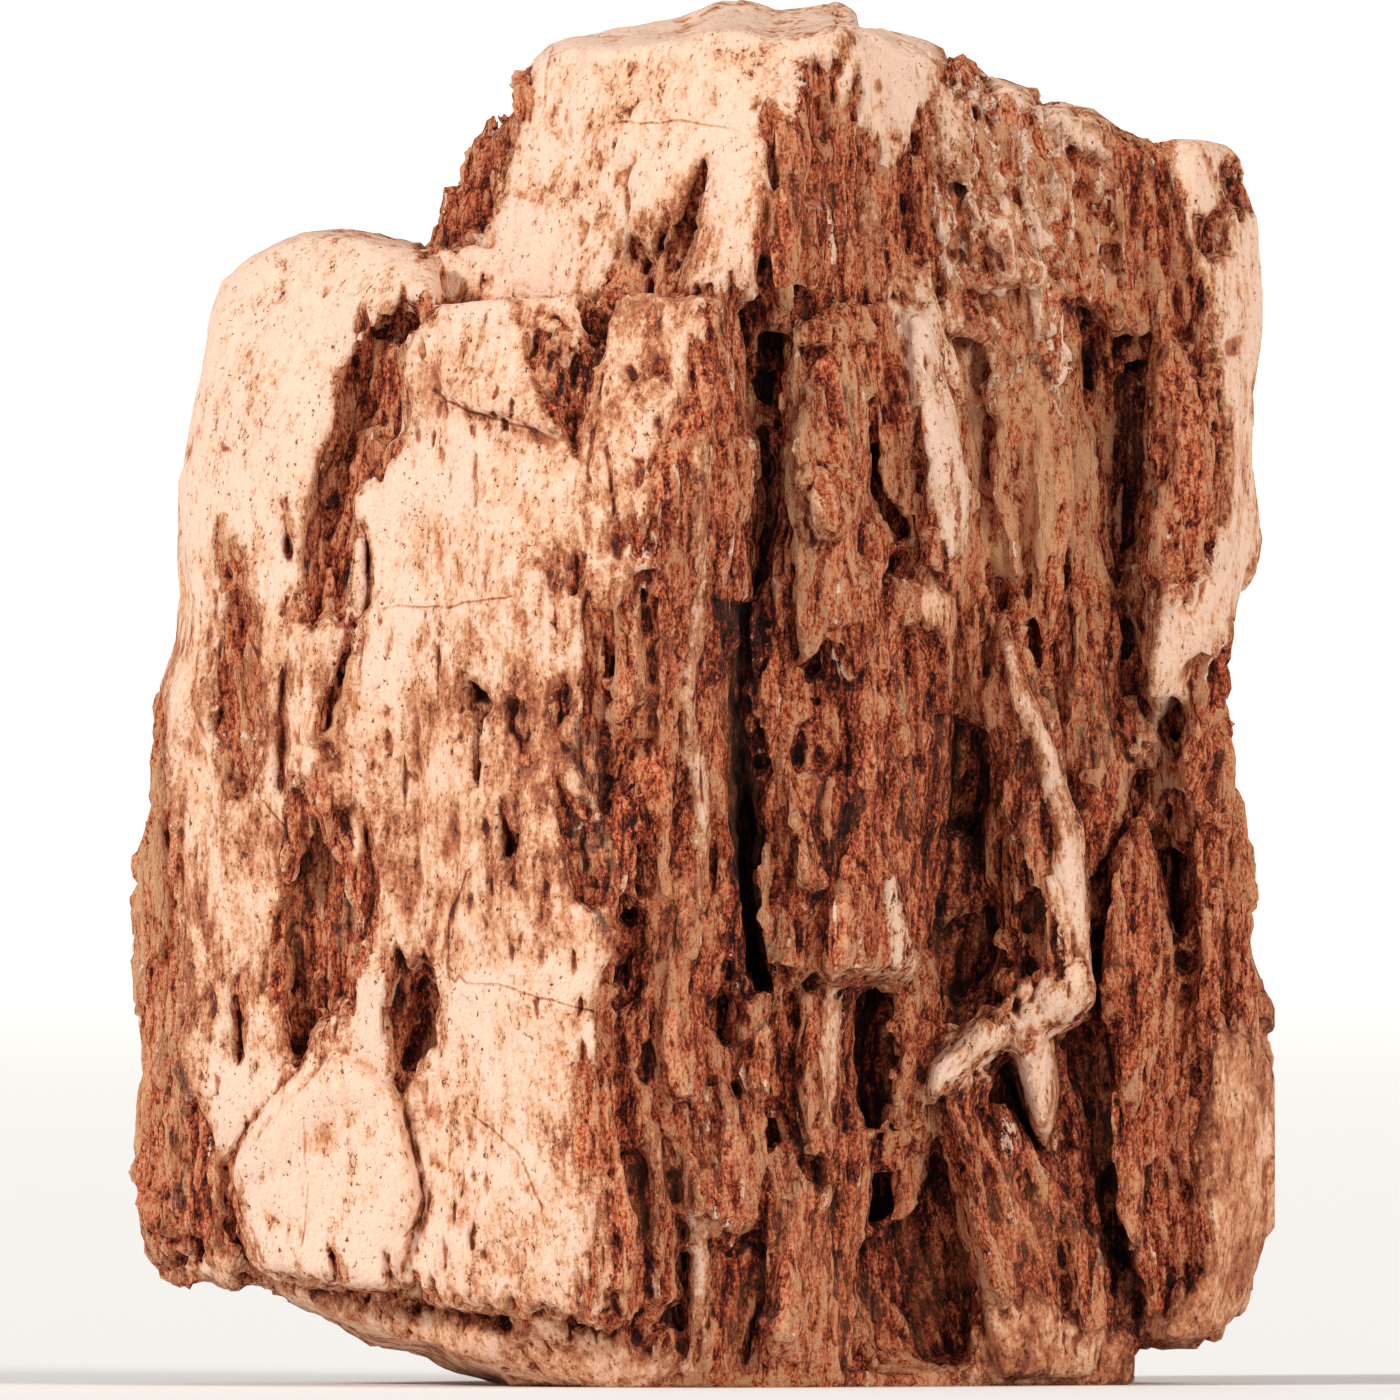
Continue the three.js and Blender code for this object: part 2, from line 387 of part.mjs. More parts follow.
// The mesh without the crumbs that cuts have freed: only the piece with the most triangles stays.
function largestPiece(geometry) {
  const index = geometry.index.array;
  const leader = Array.from({ length: geometry.attributes.position.count }, (unused, i) => i);
  const leaderOf = (i) => {
    while (leader[i] !== i) {
      leader[i] = leader[leader[i]];
      i = leader[i];
    }
    return i;
  };
  for (let i = 0; i < index.length; i += 3) {
    leader[leaderOf(index[i + 1])] = leaderOf(index[i]);
    leader[leaderOf(index[i + 2])] = leaderOf(index[i]);
  }
  const pieces = new Map();
  for (let i = 0; i < index.length; i += 3) {
    const piece = leaderOf(index[i]);
    if (!pieces.has(piece)) pieces.set(piece, []);
    pieces.get(piece).push(index[i], index[i + 1], index[i + 2]);
  }
  const largest = [...pieces.values()].sort((a, b) => b.length - a.length)[0];
  geometry.setIndex(largest);
  const kept = mergeVertices(geometry.toNonIndexed().deleteAttribute("normal"), 1e-6);
  kept.computeVertexNormals();
  return kept;
}

const joinAll = (solids) => solids.reduce((joined, solid) => joined.add(solid));

function hullOfCorners(corners) {
  const points = corners.map(([px, py, depth]) => new THREE.Vector3(acrossFromPx(px), depth, upFromPx(py)));
  return solidFrom(new ConvexGeometry(points));
}

// The space inside the outline. It is full size at the rim and draws in towards the front and the back, each
// corner by its own amount, so that the sides of the stone are broken rather than cut straight through.
function spaceInsideOutline() {
  const random = randomSource(23);
  const outline = anticlockwise(fromPhoto(OUTLINE_PX));
  const [middleAcross, middleUp] = [0, upFromPx(DRAW_IN_PY)];
  const positions = [];
  for (const { depth, drawnIn, uneven } of OUTLINE_RINGS) {
    for (const [across, up] of outline) {
      const scale = 1 - drawnIn - random(0, uneven);
      positions.push(middleAcross + (across - middleAcross) * scale, depth, middleUp + (up - middleUp) * scale);
    }
  }
  return stackOfRings(positions, outline, OUTLINE_RINGS.length);
}

// What lies above the plane that the stone stands on.
function spaceAboveBase() {
  const box = new THREE.BoxGeometry(4 * HEIGHT, 4 * HEIGHT, 2 * HEIGHT);
  box.translate(0, 0, HEIGHT);
  return solidFrom(box);
}

// How far out a body's surface is on one face, found by looking at it along that face's own direction.
function surfaceFinder(body, faceName) {
  const face = FACES[faceName];
  const [right, up, outward] = [face.right, face.up, face.outward].map((v) => new THREE.Vector3(...v));
  const mesh = new THREE.Mesh(geometryFrom(body), new THREE.MeshBasicMaterial({ side: THREE.DoubleSide }));
  const middle = { across: 0, up: HEIGHT / 2 };
  const ray = new THREE.Raycaster();
  const look = (across, height) => {
    const from = right.clone().multiplyScalar(across)
      .addScaledVector(up, height)
      .addScaledVector(outward, 2 * HEIGHT);
    ray.set(from, outward.clone().negate());
    const hits = ray.intersectObject(mesh);
    return hits.length ? 2 * HEIGHT - hits[0].distance : null;
  };
  // Past the edge of the body, the nearest surface towards its middle counts.
  const reach = (across, height) => {
    for (let step = 0; step <= 1; step += 0.02) {
      const found = look(across + (middle.across - across) * step, height + (middle.up - height) * step);
      if (found !== null) return found;
    }
    return 0;
  };
  return { right, up, outward, reach };
}

// The outline moved inwards by a distance, corner by corner.
function insetOutline(outline, distance) {
  return outline.map((corner, i) => {
    const before = outline[(i + outline.length - 1) % outline.length];
    const after = outline[(i + 1) % outline.length];
    const into = new THREE.Vector2(corner[0] - before[0], corner[1] - before[1]).normalize();
    const out = new THREE.Vector2(after[0] - corner[0], after[1] - corner[1]).normalize();
    const inward = new THREE.Vector2(-into.y - out.y, into.x + out.x);
    const halfWidth = Math.max(inward.length() / 2, 0.5);
    inward.setLength(distance / halfWidth);
    return [corner[0] + inward.x, corner[1] + inward.y];
  });
}

// A solid stretched over rings of the same number of corners, closed by a lid at each end.
function stackOfRings(positions, outline, ringCount) {
  const count = outline.length;
  const lid = THREE.ShapeUtils.triangulateShape(outline.map(([x, y]) => new THREE.Vector2(x, y)), []);
  const lastRing = (ringCount - 1) * count;
  const faces = [];
  for (const [a, b, c] of lid) {
    faces.push(c, b, a, a + lastRing, b + lastRing, c + lastRing);
  }
  for (let level = 0; level < ringCount - 1; level++) {
    for (let i = 0; i < count; i++) {
      const [low, lowNext] = [level * count + i, level * count + ((i + 1) % count)];
      faces.push(low, lowNext, lowNext + count, low, lowNext + count, low + count);
    }
  }
  return new wasm.Manifold(
    new wasm.Mesh({ numProp: 3, vertProperties: new Float32Array(positions), triVerts: new Uint32Array(faces) }),
  );
}

// Rings drawn on a face, the inmost first, each corner held at its own height above the surface there.
function drapedPiece(finder, outline, rings) {
  const positions = [];
  for (const { ring, heightAt } of rings) {
    for (const [across, up] of ring) {
      const point = finder.right.clone().multiplyScalar(across)
        .addScaledVector(finder.up, up)
        .addScaledVector(finder.outward, finder.reach(across, up) + heightAt(up));
      positions.push(point.x, point.y, point.z);
    }
  }
  return stackOfRings(positions, outline, rings.length);
}

// A long thin three-sided piece with pointed ends, standing out from a face by its height.
function splinter(finder, [across0, up0, across1, up1, width, height]) {
  const along = new THREE.Vector2(across1 - across0, up1 - up0);
  const side = new THREE.Vector2(-along.y, along.x).normalize();
  const points = [];
  for (const [share, wide, tall] of SPLINTER_STATIONS) {
    const centre = new THREE.Vector2(across0, up0).addScaledVector(along, share);
    for (const [offset, e] of [[-0.5 * wide, -BURIED], [0.5 * wide, -BURIED], [-0.12 * wide, tall * height]]) {
      const at = centre.clone().addScaledVector(side, offset * width);
      points.push(
        finder.right.clone().multiplyScalar(at.x)
          .addScaledVector(finder.up, at.y)
          .addScaledVector(finder.outward, finder.reach(at.x, at.y) + e),
      );
    }
  }
  return solidFrom(new ConvexGeometry(points));
}

const fromPhoto = (outline) => outline.map(([px, py]) => [acrossFromPx(px), upFromPx(py)]);
const isClockwise = (outline) => THREE.ShapeUtils.area(outline.map(([x, y]) => new THREE.Vector2(x, y))) < 0;
const anticlockwise = (outline) => (isClockwise(outline) ? [...outline].reverse() : outline);

function endsOf(outline) {
  const ups = outline.map(([, up]) => up);
  return [Math.min(...ups), Math.max(...ups)];
}

// A plate stands out most at its lower end, like a shingle.
function raisedPlate(finder, rawOutline, height, upperShare) {
  const outline = anticlockwise(rawOutline);
  const [low, high] = endsOf(outline);
  const heightAt = (up) => {
    const share = THREE.MathUtils.clamp((up - low) / (high - low), 0, 1);
    return height * (1 - (1 - upperShare) * share);
  };
  return drapedPiece(finder, outline, [
    { ring: outline, heightAt: () => -BURIED },
    { ring: insetOutline(outline, PLATE_BEVEL), heightAt },
  ]);
}

// A slot is deepest halfway along and runs out towards its ends.
function slotCutter(finder, rawOutline, depth) {
  const outline = anticlockwise(rawOutline);
  const [low, high] = endsOf(outline);
  const floorAt = (up) => {
    const share = THREE.MathUtils.clamp((up - low) / (high - low), 0, 1);
    return -depth * (SLOT_END_SHARE + (1 - SLOT_END_SHARE) * Math.sin(Math.PI * share));
  };
  return drapedPiece(finder, outline, [
    { ring: insetOutline(outline, SLOT_SLOPE), heightAt: floorAt },
    { ring: outline, heightAt: () => CLEAR_OF_FACE },
  ]);
}

function scatteredSplinters(finder, { count, across, up }, random) {
  const made = [];
  for (let i = 0; i < count; i++) {
    const length = random(...SPLINTER_LENGTH);
    const [x, z] = [random(...across), random(up[0] + length, up[1])];
    const lean = random(-0.12, 0.12) * length;
    const [width, height] = [random(...SPLINTER_WIDTH), random(...SPLINTER_HEIGHT)];
    made.push(splinter(finder, [x, z, x + lean, z - length, width, height]));
  }
  return made;
}

function undersideHollow([across, deep, radius]) {
  const dome = new THREE.SphereGeometry(radius, 7, 4);
  dome.rotateZ(across);
  dome.scale(1.5, 0.8, UNDERSIDE_HOLLOW_RISE / radius);
  dome.translate(across, deep, 0);
  return solidFrom(dome);
}

function makeStone() {
  const insideOutline = spaceInsideOutline();
  const blocks = joinAll(Object.values(BLOCKS).map(hullOfCorners));
  const body = blocks.intersect(insideOutline).intersect(spaceAboveBase());

  const finders = Object.fromEntries(Object.keys(FACES).map((name) => [name, surfaceFinder(body, name)]));
  const random = randomSource(7);
  const raised = [
    ...FRONT_PLATES.map((plate) =>
      raisedPlate(finders.front, fromPhoto(plate.outline), plate.height, plate.upper)),
    ...FRONT_SPLINTERS.map(([px0, py0, px1, py1, widthPx, height]) => {
      const [top, bottom] = fromPhoto([[px0, py0], [px1, py1]]);
      return splinter(finders.front, [...top, ...bottom, widthPx * MM_PER_PX, height]);
    }),
    ...HIDDEN_PLATES.map((plate) =>
      raisedPlate(finders[plate.face], plate.outline, plate.height, plate.upper)),
    ...HIDDEN_SPLINTERS.flatMap((group) => scatteredSplinters(finders[group.face], group, random)),
  ];
  const cuts = [
    ...FRONT_CUTS.map(({ outline, depth }) => slotCutter(finders.front, fromPhoto(outline), depth)),
    ...HIDDEN_CUTS.map(({ face, outline, depth }) => slotCutter(finders[face], outline, depth)),
    ...UNDERSIDE_HOLLOWS.map(undersideHollow),
  ];
  const stone = joinAll([body, ...raised]).subtract(joinAll(cuts));
  return stone.intersect(insideOutline).intersect(spaceAboveBase());
}

const rockGeometry = largestPiece(geometryFrom(makeStone()));
rockGeometry.computeBoundingBox();
const bounds = rockGeometry.boundingBox;
rockGeometry.translate(-(bounds.min.x + bounds.max.x) / 2, -(bounds.min.y + bounds.max.y) / 2, -bounds.min.z);

const rock = new THREE.Mesh(
  rockGeometry,
  new THREE.MeshStandardMaterial({ color: 0xb5745a, roughness: 0.88, metalness: 0, flatShading: true }),
);
rock.name = "rock";

const canyonRock = new THREE.Group();
canyonRock.add(rock);

export default canyonRock;
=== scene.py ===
import math

import bmesh
import bpy
import numpy as np
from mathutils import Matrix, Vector
from mathutils.bvhtree import BVHTree


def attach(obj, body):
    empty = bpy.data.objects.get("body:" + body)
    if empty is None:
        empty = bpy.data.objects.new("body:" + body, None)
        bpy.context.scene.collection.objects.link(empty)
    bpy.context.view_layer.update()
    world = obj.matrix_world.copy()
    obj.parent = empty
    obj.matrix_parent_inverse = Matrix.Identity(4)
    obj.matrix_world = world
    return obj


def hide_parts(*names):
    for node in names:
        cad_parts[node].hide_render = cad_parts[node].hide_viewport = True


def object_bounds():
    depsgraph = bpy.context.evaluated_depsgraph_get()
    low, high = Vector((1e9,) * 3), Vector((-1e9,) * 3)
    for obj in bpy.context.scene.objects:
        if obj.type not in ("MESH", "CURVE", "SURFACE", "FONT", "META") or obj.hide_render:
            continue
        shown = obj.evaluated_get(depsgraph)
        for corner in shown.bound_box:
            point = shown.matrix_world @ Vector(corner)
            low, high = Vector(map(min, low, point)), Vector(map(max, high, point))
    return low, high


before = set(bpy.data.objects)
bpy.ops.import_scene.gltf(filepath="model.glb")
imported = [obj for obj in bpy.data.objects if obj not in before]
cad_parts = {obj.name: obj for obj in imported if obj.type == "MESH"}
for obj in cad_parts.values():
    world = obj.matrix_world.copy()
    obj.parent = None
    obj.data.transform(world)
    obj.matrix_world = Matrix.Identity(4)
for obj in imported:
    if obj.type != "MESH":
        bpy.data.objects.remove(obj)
cad_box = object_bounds()

# Where a point of the stone lies in the 1400 by 1400 photograph.
MM_PER_PX = 140 / 1381
MIDDLE_PX = 701.5
BASE_PX = 1386

MOST_TRIANGLES = 198000
FIRST_MESH_MM = 0.5
FINE_MESH_MM = 0.45

# Broken fibres of the rust stone: width, depth and height of a splinter in millimetres.
BIG_SPLINTERS = (8.5, 8.5, 44)
SMALL_SPLINTERS = (4.2, 4.2, 26)
UPRIGHT_GAPS = (3.8, 3.8, 400)


# ---- stone grain -------------------------------------------------------------------------------

class StoneGrain:
    """Repeatable random fields over points in millimetres."""

    def __init__(self, seed):
        rng = np.random.default_rng(seed)
        self.order = np.tile(rng.permutation(256), 3)
        slopes = rng.normal(size=(256, 3))
        self.slopes = slopes / np.linalg.norm(slopes, axis=1)[:, None]
        self.offsets = rng.random((256, 3))
        self.heights = rng.random(256)

    def label(self, cell):
        x, y, z = (cell & 255).T
        return self.order[self.order[self.order[x] + y] + z]

    def soft(self, points, size):
        """Rolling ups and downs between about -1 and 1. size is one number or one per axis."""
        scaled = points / np.asarray(size, float)
        cell = np.floor(scaled).astype(np.int64)
        within = scaled - cell
        ease = within ** 3 * (within * (within * 6 - 15) + 10)
        total = np.zeros(len(points))
        for dx in (0, 1):
            for dy in (0, 1):
                for dz in (0, 1):
                    corner = np.array([dx, dy, dz])
                    slope = self.slopes[self.label(cell + corner)]
                    height = ((within - corner) * slope).sum(1)
                    share = np.abs(1 - corner - ease).prod(1)
                    total += height * share
        return total * 1.6

    def layered(self, points, size, layers=4, fade=0.5):
        size = np.asarray(size, float)
        total, strength = np.zeros(len(points)), 1.0
        for layer in range(layers):
            total += strength * self.soft(points + 37.3 * layer, size / 2 ** layer)
            strength *= fade
        return total

    def ridged(self, points, size):
        """Sharp crests: 1 on a crest, falling to about 0."""
        return 1 - np.clip(np.abs(self.soft(points, size)) * 2, 0, 1)

    def splinters(self, points, size):
        """Cells of broken fibre: each cell's own height from 0 to 1, how near its edge is, and how low in it."""
        scaled = points / np.asarray(size, float)
        cell = np.floor(scaled).astype(np.int64)
        nearest = np.full(len(points), 9.0)
        second = np.full(len(points), 9.0)
        height = np.zeros(len(points))
        low = np.zeros(len(points))
        for dx in (-1, 0, 1):
            for dy in (-1, 0, 1):
                for dz in (-1, 0, 1):
                    there = cell + np.array([dx, dy, dz])
                    label = self.label(there)
                    away = there + self.offsets[label] - scaled
                    gap = (away ** 2).sum(1)
                    closer = gap < nearest
                    second = np.where(closer, nearest, np.minimum(second, gap))
                    nearest = np.where(closer, gap, nearest)
                    height = np.where(closer, self.heights[label], height)
                    low = np.where(closer, away[:, 2], low)
        return height, np.sqrt(second) - np.sqrt(nearest), np.clip(low, -0.8, 0.8)


def smooth_step(low, high, value):
    share = np.clip((value - low) / (high - low), 0, 1)
    return share * share * (3 - 2 * share)


grain = StoneGrain(11)
second_grain = StoneGrain(29)


# ---- where things are on the front, in the photograph's pixels --------------------------------------

PALE_AREAS = {
    "left_face": [
        (180, 250), (300, 215), (430, 235), (500, 286), (585, 335), (620, 298), (722, 290), (714, 345), (690, 385),
        (682, 440), (652, 470), (640, 540), (630, 580), (602, 610), (586, 650), (578, 690), (574, 740), (600, 800),
        (612, 860), (616, 960), (600, 1000), (577, 1060), (572, 1090), (582, 1150), (592, 1200), (592, 1312),
        (430, 1300), (255, 1276), (236, 1190), (206, 1130), (182, 1060), (178, 900), (166, 760), (150, 640),
        (150, 420),
    ],
    "tower_face": [
        (500, 88), (520, 40), (600, 0), (850, -10), (840, 50), (812, 80), (803, 112), (766, 132), (757, 215),
        (750, 290), (620, 305), (585, 340), (500, 290), (440, 250), (490, 200), (505, 130),
    ],
    "cap": [
        (845, 0), (890, 10), (935, 30), (945, 60), (932, 70), (930, 112), (912, 125), (904, 166), (880, 160),
        (862, 128), (842, 116), (838, 60),
    ],
    "lit_triangle": [(862, 204), (873, 200), (883, 240), (858, 240)],
    "lit_strip": [
        (886, 304), (938, 300), (952, 390), (970, 450), (984, 500), (972, 566), (944, 554), (918, 524), (922, 470),
        (908, 400), (898, 350),
    ],
    "shield_foot": [(800, 480), (832, 500), (828, 545), (802, 545)],
    "strip_foot": [(902, 580), (954, 586), (951, 622), (936, 631), (906, 622)],
    "dome_left": [(988, 66), (1030, 76), (1042, 112), (1012, 106), (990, 98)],
    "dome_right": [(1040, 94), (1104, 112), (1112, 150), (1100, 160), (1070, 140), (1044, 122)],
    "column_by_the_strip": [(938, 292), (966, 290), (975, 330), (966, 400), (946, 412), (941, 350)],
    "rib_foot": [(985, 1302), (1030, 1292), (1062, 1310), (1066, 1380), (990, 1380)],
    "ledge_strip": [(880, 880), (900, 876), (906, 930), (897, 966), (879, 962)],
    "ledge_underside": [(826, 968), (905, 962), (926, 948), (916, 976), (830, 984)],
    "flap_underside": [
        (916, 1110), (926, 1060), (966, 1026), (1005, 1012), (1044, 990), (1089, 958), (1098, 990), (1086, 1020),
        (1031, 1042), (1005, 1058), (966, 1082),
    ],
    "flap_rim": [
        (984, 598), (1002, 616), (1016, 650), (1032, 690), (1054, 742), (1066, 800), (1086, 845), (1092, 900),
        (1094, 990), (1064, 992), (1062, 930), (1050, 880), (1054, 830), (1040, 772), (1022, 726), (1008, 684),
        (996, 640),
    ],
    "tooth": [(1006, 1052), (1052, 1036), (1058, 1092), (1049, 1146), (1030, 1136)],
    "right_slab": [
        (1164, 108), (1262, 108), (1282, 200), (1280, 322), (1265, 400), (1280, 530), (1250, 600), (1238, 622),
        (1200, 672), (1176, 722), (1150, 742), (1130, 782), (1150, 680), (1158, 605), (1206, 570), (1222, 500),
        (1218, 400), (1196, 352), (1190, 250), (1172, 175),
    ],
    "right_foot": [
        (1207, 1020), (1280, 1020), (1285, 1240), (1260, 1320), (1205, 1352), (1132, 1356), (1148, 1325),
        (1198, 1272), (1200, 1150),
    ],
    "bottom_edge": [(962, 1340), (1040, 1312), (1130, 1330), (1134, 1385), (955, 1385)],
    "foot_wedge": [(150, 1212), (206, 1214), (266, 1274), (228, 1296), (154, 1268)],
    "underside": [
        (255, 1284), (330, 1290), (430, 1310), (590, 1326), (700, 1362), (640, 1392), (500, 1394), (425, 1366),
        (346, 1344), (282, 1314),
    ],
    "top_lump": [(926, 92), (966, 90), (976, 140), (962, 170), (938, 176)],
    "under_strip_lump": [(885, 262), (930, 262), (935, 305), (885, 302)],
}
# Pale seams: their width in pixels and the line they follow.
PALE_SEAMS = {
    "long_seam": (17, [(696, 440), (701, 560), (699, 620), (686, 700), (700, 790), (706, 845), (700, 905)]),
    "under_ledge": (18, [(834, 972), (831, 1010), (829, 1060), (829, 1130)]),
    "pocket_edge": (15, [(890, 1070), (900, 1105), (893, 1140)]),
    "foot_seam": (22, [(698, 1215), (702, 1290), (704, 1362)]),
    "ridge_seam_low": (10, [(652, 1126), (656, 1180), (655, 1243)]),
    "ridge_foot": (16, [(594, 1180), (604, 1240), (606, 1300)]),
    "shoulder_seam": (12, [(1006, 228), (1012, 282)]),
    "shield_edge": (8, [(862, 372), (864, 440), (852, 476)]),
    "column_seam": (10, [(640, 560), (636, 640), (642, 700)]),
    "rim_of_right_column": (9, [(1152, 590), (1150, 700), (1128, 790)]),
}
RUST_AREAS = {
    "left_flank": [(120, 740), (166, 770), (178, 880), (182, 1060), (206, 1180), (230, 1250), (160, 1262), (120, 1150)],
    "tower_left_rim": [
        (440, 110), (498, 76), (520, 60), (528, 90), (508, 140), (496, 205), (470, 246), (420, 262), (420, 170),
    ],
    "slot_top": [(345, 372), (366, 318), (420, 296), (432, 312), (402, 352), (398, 400), (360, 420)],
    "main_slot": [
        (360, 340), (345, 370), (334, 430), (318, 460), (310, 500), (308, 560), (304, 620), (345, 622), (350, 560),
        (352, 500), (372, 490), (386, 465), (402, 440), (404, 400), (396, 345),
    ],
    "left_slot": [
        (225, 530), (215, 560), (224, 600), (212, 680), (212, 720), (228, 795), (245, 796), (262, 740), (258, 670),
        (248, 600), (246, 556),
    ],
    "lens": [(352, 620), (362, 645), (350, 684), (334, 735), (318, 736), (332, 680)],
    "slab_recess": [(536, 338), (560, 344), (576, 400), (568, 440), (549, 430), (538, 380)],
    "slab_recess_right": [(582, 344), (600, 350), (588, 402), (572, 430), (574, 396)],
    "band_patch_top": [(1218, 162), (1258, 174), (1262, 204), (1236, 210)],
    "band_patch_low": [(1198, 222), (1226, 216), (1230, 256), (1200, 256)],
    "cap_lens": [
        (1148, 146), (1170, 152), (1182, 200), (1192, 260), (1206, 330), (1213, 374), (1190, 380), (1168, 330),
        (1156, 250),
    ],
    "black_slot": [(1068, 300), (1100, 300), (1108, 340), (1106, 380), (1100, 436), (1082, 440), (1068, 380)],
    "maroon_slot": [(1108, 345), (1120, 370), (1146, 380), (1150, 470), (1144, 600), (1112, 600), (1106, 480)],
    "rib_hollow": [(798, 644), (862, 644), (866, 772), (802, 772)],
    "cave": [
        (302, 778), (322, 786), (345, 840), (358, 890), (360, 960), (352, 1000), (338, 1012), (318, 1040), (300, 1066),
        (286, 1010), (290, 960), (283, 900), (298, 850),
    ],
    "ridge_notch": [(562, 796), (590, 806), (606, 860), (604, 905), (582, 890), (566, 850)],
    "gutter": [(402, 956), (438, 985), (434, 1050), (404, 1084), (393, 1050)],
    "tower_slot": [(704, 156), (714, 190), (694, 250), (668, 290), (650, 288), (668, 230)],
    "tower_slot_left": [(632, 238), (640, 260), (618, 310), (604, 336), (592, 332), (606, 290)],
}
# Where iron has stained the pale stone tan: how much, and the outline. Later ones lie over earlier ones. The negative
# ones are a painted highlight, and the right face and underside tints are partly painted shade.
TAN_AREAS = {
    # partly painted shade: the crust on the shaded right face is tinted warmer and darker
    "right_face": (0.9, [(600, 320), (760, 300), (860, 180), (1120, 180), (1200, 700), (1200, 1390), (590, 1390)]),
    "slab": (0.75, [(420, 330), (720, 300), (640, 560), (590, 700), (440, 700)]),
    "slab_low": (1.35, [(430, 690), (580, 690), (590, 960), (420, 970)]),
    "foot_block": (0.6, [(400, 1000), (590, 1000), (590, 1310), (400, 1290)]),
    "left_block_low": (0.9, [(150, 560), (330, 620), (300, 1070), (160, 1040)]),
    "tower": (0.6, [(500, 120), (600, 60), (800, 30), (750, 290), (560, 320)]),
    "middle": (1.1, [(300, 700), (440, 700), (420, 960), (300, 900)]),
    "right_slab": (0.45, [(1130, 130), (1290, 130), (1290, 800), (1110, 800)]),
    "right_foot": (1.9, [(1120, 1010), (1290, 1010), (1290, 1390), (940, 1390), (940, 1290)]),
    # partly painted shade: the downward-facing underside is tinted darker
    "underside": (1.2, [(240, 1278), (420, 1298), (590, 1316), (720, 1340), (720, 1400), (240, 1400)]),
    "foot_wedge": (1.0, [(140, 1200), (210, 1204), (270, 1276), (140, 1300)]),
    "left_flank": (0.7, [(110, 740), (178, 740), (200, 1180), (110, 1240)]),
    "flap": (0.35, [(984, 598), (1052, 690), (1098, 840), (1100, 1010), (1040, 1062), (1060, 1146), (1010, 1140), (916, 1120), (928, 1058), (1040, 985)]),
    "foot_seam": (0.3, [(684, 1205), (712, 1205), (716, 1370), (688, 1370)]),
    # painted highlight: these two make the crust paler than its own colour where sunlight grazes
    "lit_strip": (-0.6, [(885, 300), (940, 300), (985, 480), (975, 560), (920, 540)]),
    "ledge_strip": (-0.5, [(872, 872), (908, 872), (908, 970), (872, 970)]),
}
# Where the rust stone is lighter or darker than the rest; the darkened recesses among them are painted shade.
TONE_AND_SHADE_AREAS = {
    "right_low": (-0.07, [(720, 990), (1140, 990), (1140, 1340), (720, 1340)]),
    "right_top": (0.2, [(930, 120), (1130, 120), (1100, 560), (960, 600)]),
    "left_flank": (0.12, [(110, 740), (178, 740), (200, 1180), (110, 1240)]),
    "slot_walls": (0.1, [(200, 300), (420, 290), (380, 760), (200, 810)]),
    "tower_slots": (0.18, [(580, 150), (720, 150), (700, 300), (600, 340)]),
    "smooth_recess": (0.04, [(860, 1132), (925, 1116), (952, 1165), (985, 1300), (975, 1372), (872, 1372), (846, 1290)]),
    # painted shade: black_slot, chasm, under_flap, long_maroon_slot and ledge_pocket darken recesses where shade falls
    "black_slot": (-0.3, [(1062, 296), (1104, 296), (1112, 372), (1068, 384)]),
    "chasm": (-0.34, [(722, 600), (768, 600), (764, 1000), (722, 1000)]),
    "under_flap": (-0.14, [(926, 702), (1000, 722), (1010, 800), (1016, 900), (1000, 985), (950, 1018), (914, 850)]),
    "long_maroon_slot": (-0.1, [(1098, 300), (1150, 370), (1150, 760), (1100, 760)]),
    "ledge_pocket": (-0.1, [(838, 980), (884, 980), (884, 1120), (838, 1120)]),
    "slanting_rib": (0.08, [(940, 1090), (960, 1085), (1020, 1300), (985, 1300)]),
    "columns": (0.07, [(770, 985), (830, 985), (830, 1140), (790, 1330), (745, 1330), (745, 1150)]),
}
SOOT_AREAS = {
    "ridge_soot": (0.9, [(572, 690), (625, 700), (620, 860), (612, 955), (585, 930), (565, 850), (556, 790)]),
    "cave_soot": (0.5, [(290, 660), (330, 680), (350, 860), (300, 900), (282, 780)]),
    "slab_soot": (0.55, [(480, 740), (560, 750), (560, 880), (500, 890), (480, 820)]),
    "shield_soot": (0.6, [(790, 480), (845, 490), (838, 550), (795, 545)]),
    "rib_soot": (0.9, [(1085, 1215), (1150, 1220), (1150, 1335), (1100, 1345), (1080, 1300)]),
    "column_soot": (0.7, [(1130, 830), (1190, 840), (1200, 1060), (1140, 1060)]),
    "splinter_soot": (0.6, [(585, 810), (620, 815), (622, 955), (590, 950)]),
    "flap_soot": (0.6, [(1000, 640), (1034, 645), (1034, 705), (1004, 700)]),
    "chasm_soot": (0.5, [(680, 690), (720, 690), (722, 765), (690, 762)]),
    "tower_soot": (0.5, [(500, 75), (530, 75), (535, 140), (500, 150)]),
    "top_soot": (0.6, [(1060, 130), (1110, 130), (1112, 240), (1064, 230)]),
}
